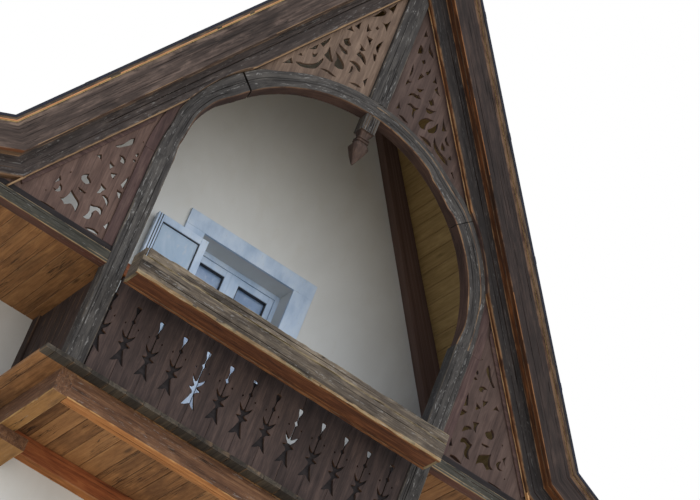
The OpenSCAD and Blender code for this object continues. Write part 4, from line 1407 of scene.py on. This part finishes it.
def panel_frame(piece, x0, x1, z0, z1, y0, y1, stiles, head, foot, lines=()):
    """two stiles, a head and a foot rail with a dark gasket inside them. lines are grooves along the
    first stile"""
    corners, sides = [(x0, y0)], {}
    for i, x in enumerate(lines):
        a, b = x0 + x - .0025, x0 + x + .0025
        corners += [(a, y0), (a, y0 + .006), (b, y0 + .006), (b, y0)]
        sides.update({4 * i + k: "gasket" for k in (1, 2, 3)})
    corners += [(x0 + stiles[0], y0), (x0 + stiles[0], y1), (x0, y1)]
    bar(piece, along_z, z0, z1, corners, sides=sides)
    bar(piece, along_z, z0, z1, box(x1 - stiles[1], x1, y0, y1))
    a, b = x0 + stiles[0] + .001, x1 - stiles[1] - .001
    bar(piece, along_x, a, b, box(z1 - head, z1, y0, y1))
    bar(piece, along_x, a, b, box(z0, z0 + foot, y0, y1))
    front, back = y0 + .005, y1 - .004
    for x in ((a - .001, a + GASKET), (b - GASKET, b + .001)):
        bar(piece, along_z, z0 + foot, z1 - head, box(*x, front, back), mat="gasket")
    for z in ((z1 - head - GASKET, z1 - head), (z0 + foot, z0 + foot + GASKET)):
        bar(piece, along_x, a + GASKET, b - GASKET, box(*z, front, back), mat="gasket")


def door_casing():
    piece = Piece("casing_boards", "door_casing", slot="white_frames")
    outer = DOOR_HALF + CASING_W
    for side in (-1, 1):
        corners = box(*on_side(side, DOOR_HALF, outer), CASING_FRONT, WALL)
        bar(piece, along_z, FLOOR, DOOR_TOP - .0015, corners)
    bar(piece, along_x, -outer, outer, box(DOOR_TOP, CASING_TOP, CASING_FRONT, WALL))
    piece.done()


def door():
    """a glazed double door in its frame, with cover bars behind the pane"""
    piece = Piece("door_joinery", "door_frame", slot="white_frames")
    jamb, head, mid, foot = .038, .045, .0685, FLOOR + .004
    for side in (-1, 1):
        corners = box(*on_side(side, DOOR_HALF, DOOR_HALF - jamb), DOOR_FRONT, DOOR_BACK)
        bar(piece, along_z, FLOOR, DOOR_TOP, corners)
    inner = DOOR_HALF - jamb - .001
    bar(piece, along_x, -inner, inner, box(DOOR_TOP - head, DOOR_TOP, DOOR_FRONT, DOOR_BACK))
    leaf_x, leaf_top = DOOR_HALF - jamb - .004, DOOR_TOP - head - .004
    for x0, x1, stiles in ((-leaf_x, -.0015, (.048, mid)), (.0015, leaf_x, (mid, .048))):
        panel_frame(piece, x0, x1, foot, leaf_top, DOOR_FRONT + .004, DOOR_BACK, stiles, .061, .156)
    bar(piece, along_z, foot, leaf_top - .001, box(-.018, .018, DOOR_FRONT, DOOR_FRONT + .0035))

    low, top, width, cover_back = .975, 3.220, .061, PANE_BACK + .0135
    for a, b in ((-.410, -.349), (-.070, -.0015), (.0015, .070), (.349, .410)):
        bar(piece, along_z, low, top, box(a, b, PANE_BACK, cover_back))
    for side in (-1, 1):
        for z in (top - width, low):
            bar(piece, along_x, *on_side(side, .0705, .3485), box(z, z + width, PANE_BACK, cover_back))
    piece.done()


def open_leaf():
    """the outer leaf, standing open against the wall on three hinges"""
    piece = Piece("leaf_joinery", "open_leaf", slot="white_frames")
    x0, x1, z0, z1, y0 = -.890, -.405, .890, 3.180, WALL - .095
    y1, stile = y0 + .055, .062
    panel_frame(piece, x0, x1, z0, z1, y0, y1, (stile, stile), .062, .120, lines=(.020, .042))
    for z in (z0 + .250, (z0 + z1) / 2, z1 - .250):
        corners = box(x1 - stile, -DOOR_HALF, y1 + .0005, CASING_FRONT - .0005)
        bar(piece, along_z, z - .04, z + .04, corners, mat="gasket")
    piece.done()


def carried_over():
    """CAD nodes that keep their mesh"""
    looks = {"gable_wall": "plaster", "door_glass": "door_glass", "open_leaf_glass": "leaf_glass"}
    for name, mat in looks.items():
        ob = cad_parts[name]
        ob.data.materials.clear()
        ob.data.materials.append(MATERIALS[mat])


# Stage and light
def add_floor():
    """a pale floor that is only seen from above, because the camera looks up from below it"""
    me = bpy.data.meshes.new("floor")
    me.from_pydata([(x, y, -.004) for x, y in box(-60, 60, -60, 60)], [], [(0, 1, 2, 3)])
    floor = bpy.data.objects.new("floor", me)
    scene.collection.objects.link(floor)
    nodes = material("floor")
    nodes.give(Base_Color=(.90, .83, .71, 1), Roughness=.9)
    clear = nodes.put("ShaderNodeBsdfTransparent").outputs[0]
    from_below = nodes.put("ShaderNodeNewGeometry").outputs["Backfacing"]
    shown = nodes.put("ShaderNodeMixShader", {0: from_below, 1: nodes.shader.outputs[0], 2: clear})
    nodes.feed(nodes.tree.nodes["Material Output"].inputs[0], shown.outputs[0])
    me.materials.append(MATERIALS["floor"])
    for ray in ("diffuse", "glossy", "transmission", "shadow"):
        setattr(floor, "visible_" + ray, False)


def add_world():
    """soft light, warm from below and cool from above, and plain white for the camera"""
    scene.world = bpy.data.worlds.new("world")
    nodes = Nodes(scene.world, "Background")
    up = nodes.xyz(nodes.put("ShaderNodeTexCoord").outputs["Generated"])[2]
    light = nodes.mix(nodes.remap(up, -.35, .35), (.64, .58, .50, 1), (.56, .66, .84, 1))
    rays = nodes.put("ShaderNodeLightPath").outputs
    seen = nodes.most(nodes.most(rays["Is Camera Ray"], rays["Is Glossy Ray"]), rays["Is Transmission Ray"])
    nodes.give(Color=nodes.mix(seen, light, (1, 1, 1, 1)), Strength=1.)


def add_sun():
    sun = bpy.data.objects.new("sun", bpy.data.lights.new("sun", "SUN"))
    scene.collection.objects.link(sun)
    sun.data.energy = 1.3
    sun.data.angle = rad(70)
    sun.data.color = (1., .98, .94)
    sun.rotation_euler = (rad(82), 0, rad(10))


# All pieces
def roof_top(name, side):
    rng = np.random.default_rng(11 + side)
    roof_boards(name, side, rng)
    shingles(name, side, rng)


def both_sides(*builders):
    for name, side in SIDES:
        for build in builders:
            build(name, side)


add_camera()
add_materials()
both_sides(roof_top, flashing, barge_board, front_rafter, wall_rafter)
ridge_purlin()
ridge_cap()
king_post()
both_sides(arch, post, tie_beam)
both_sides(fretwork_upper, fretwork_lower)
pendant()
both_sides(eave)
floor_beam_front()
both_sides(side_beam)
floor_boards()
wall_ledger()
top_rail()
balustrade()
both_sides(side_panel)
flower_box()
door_casing()
door()
open_leaf()
carried_over()
add_floor()
add_world()
add_sun()
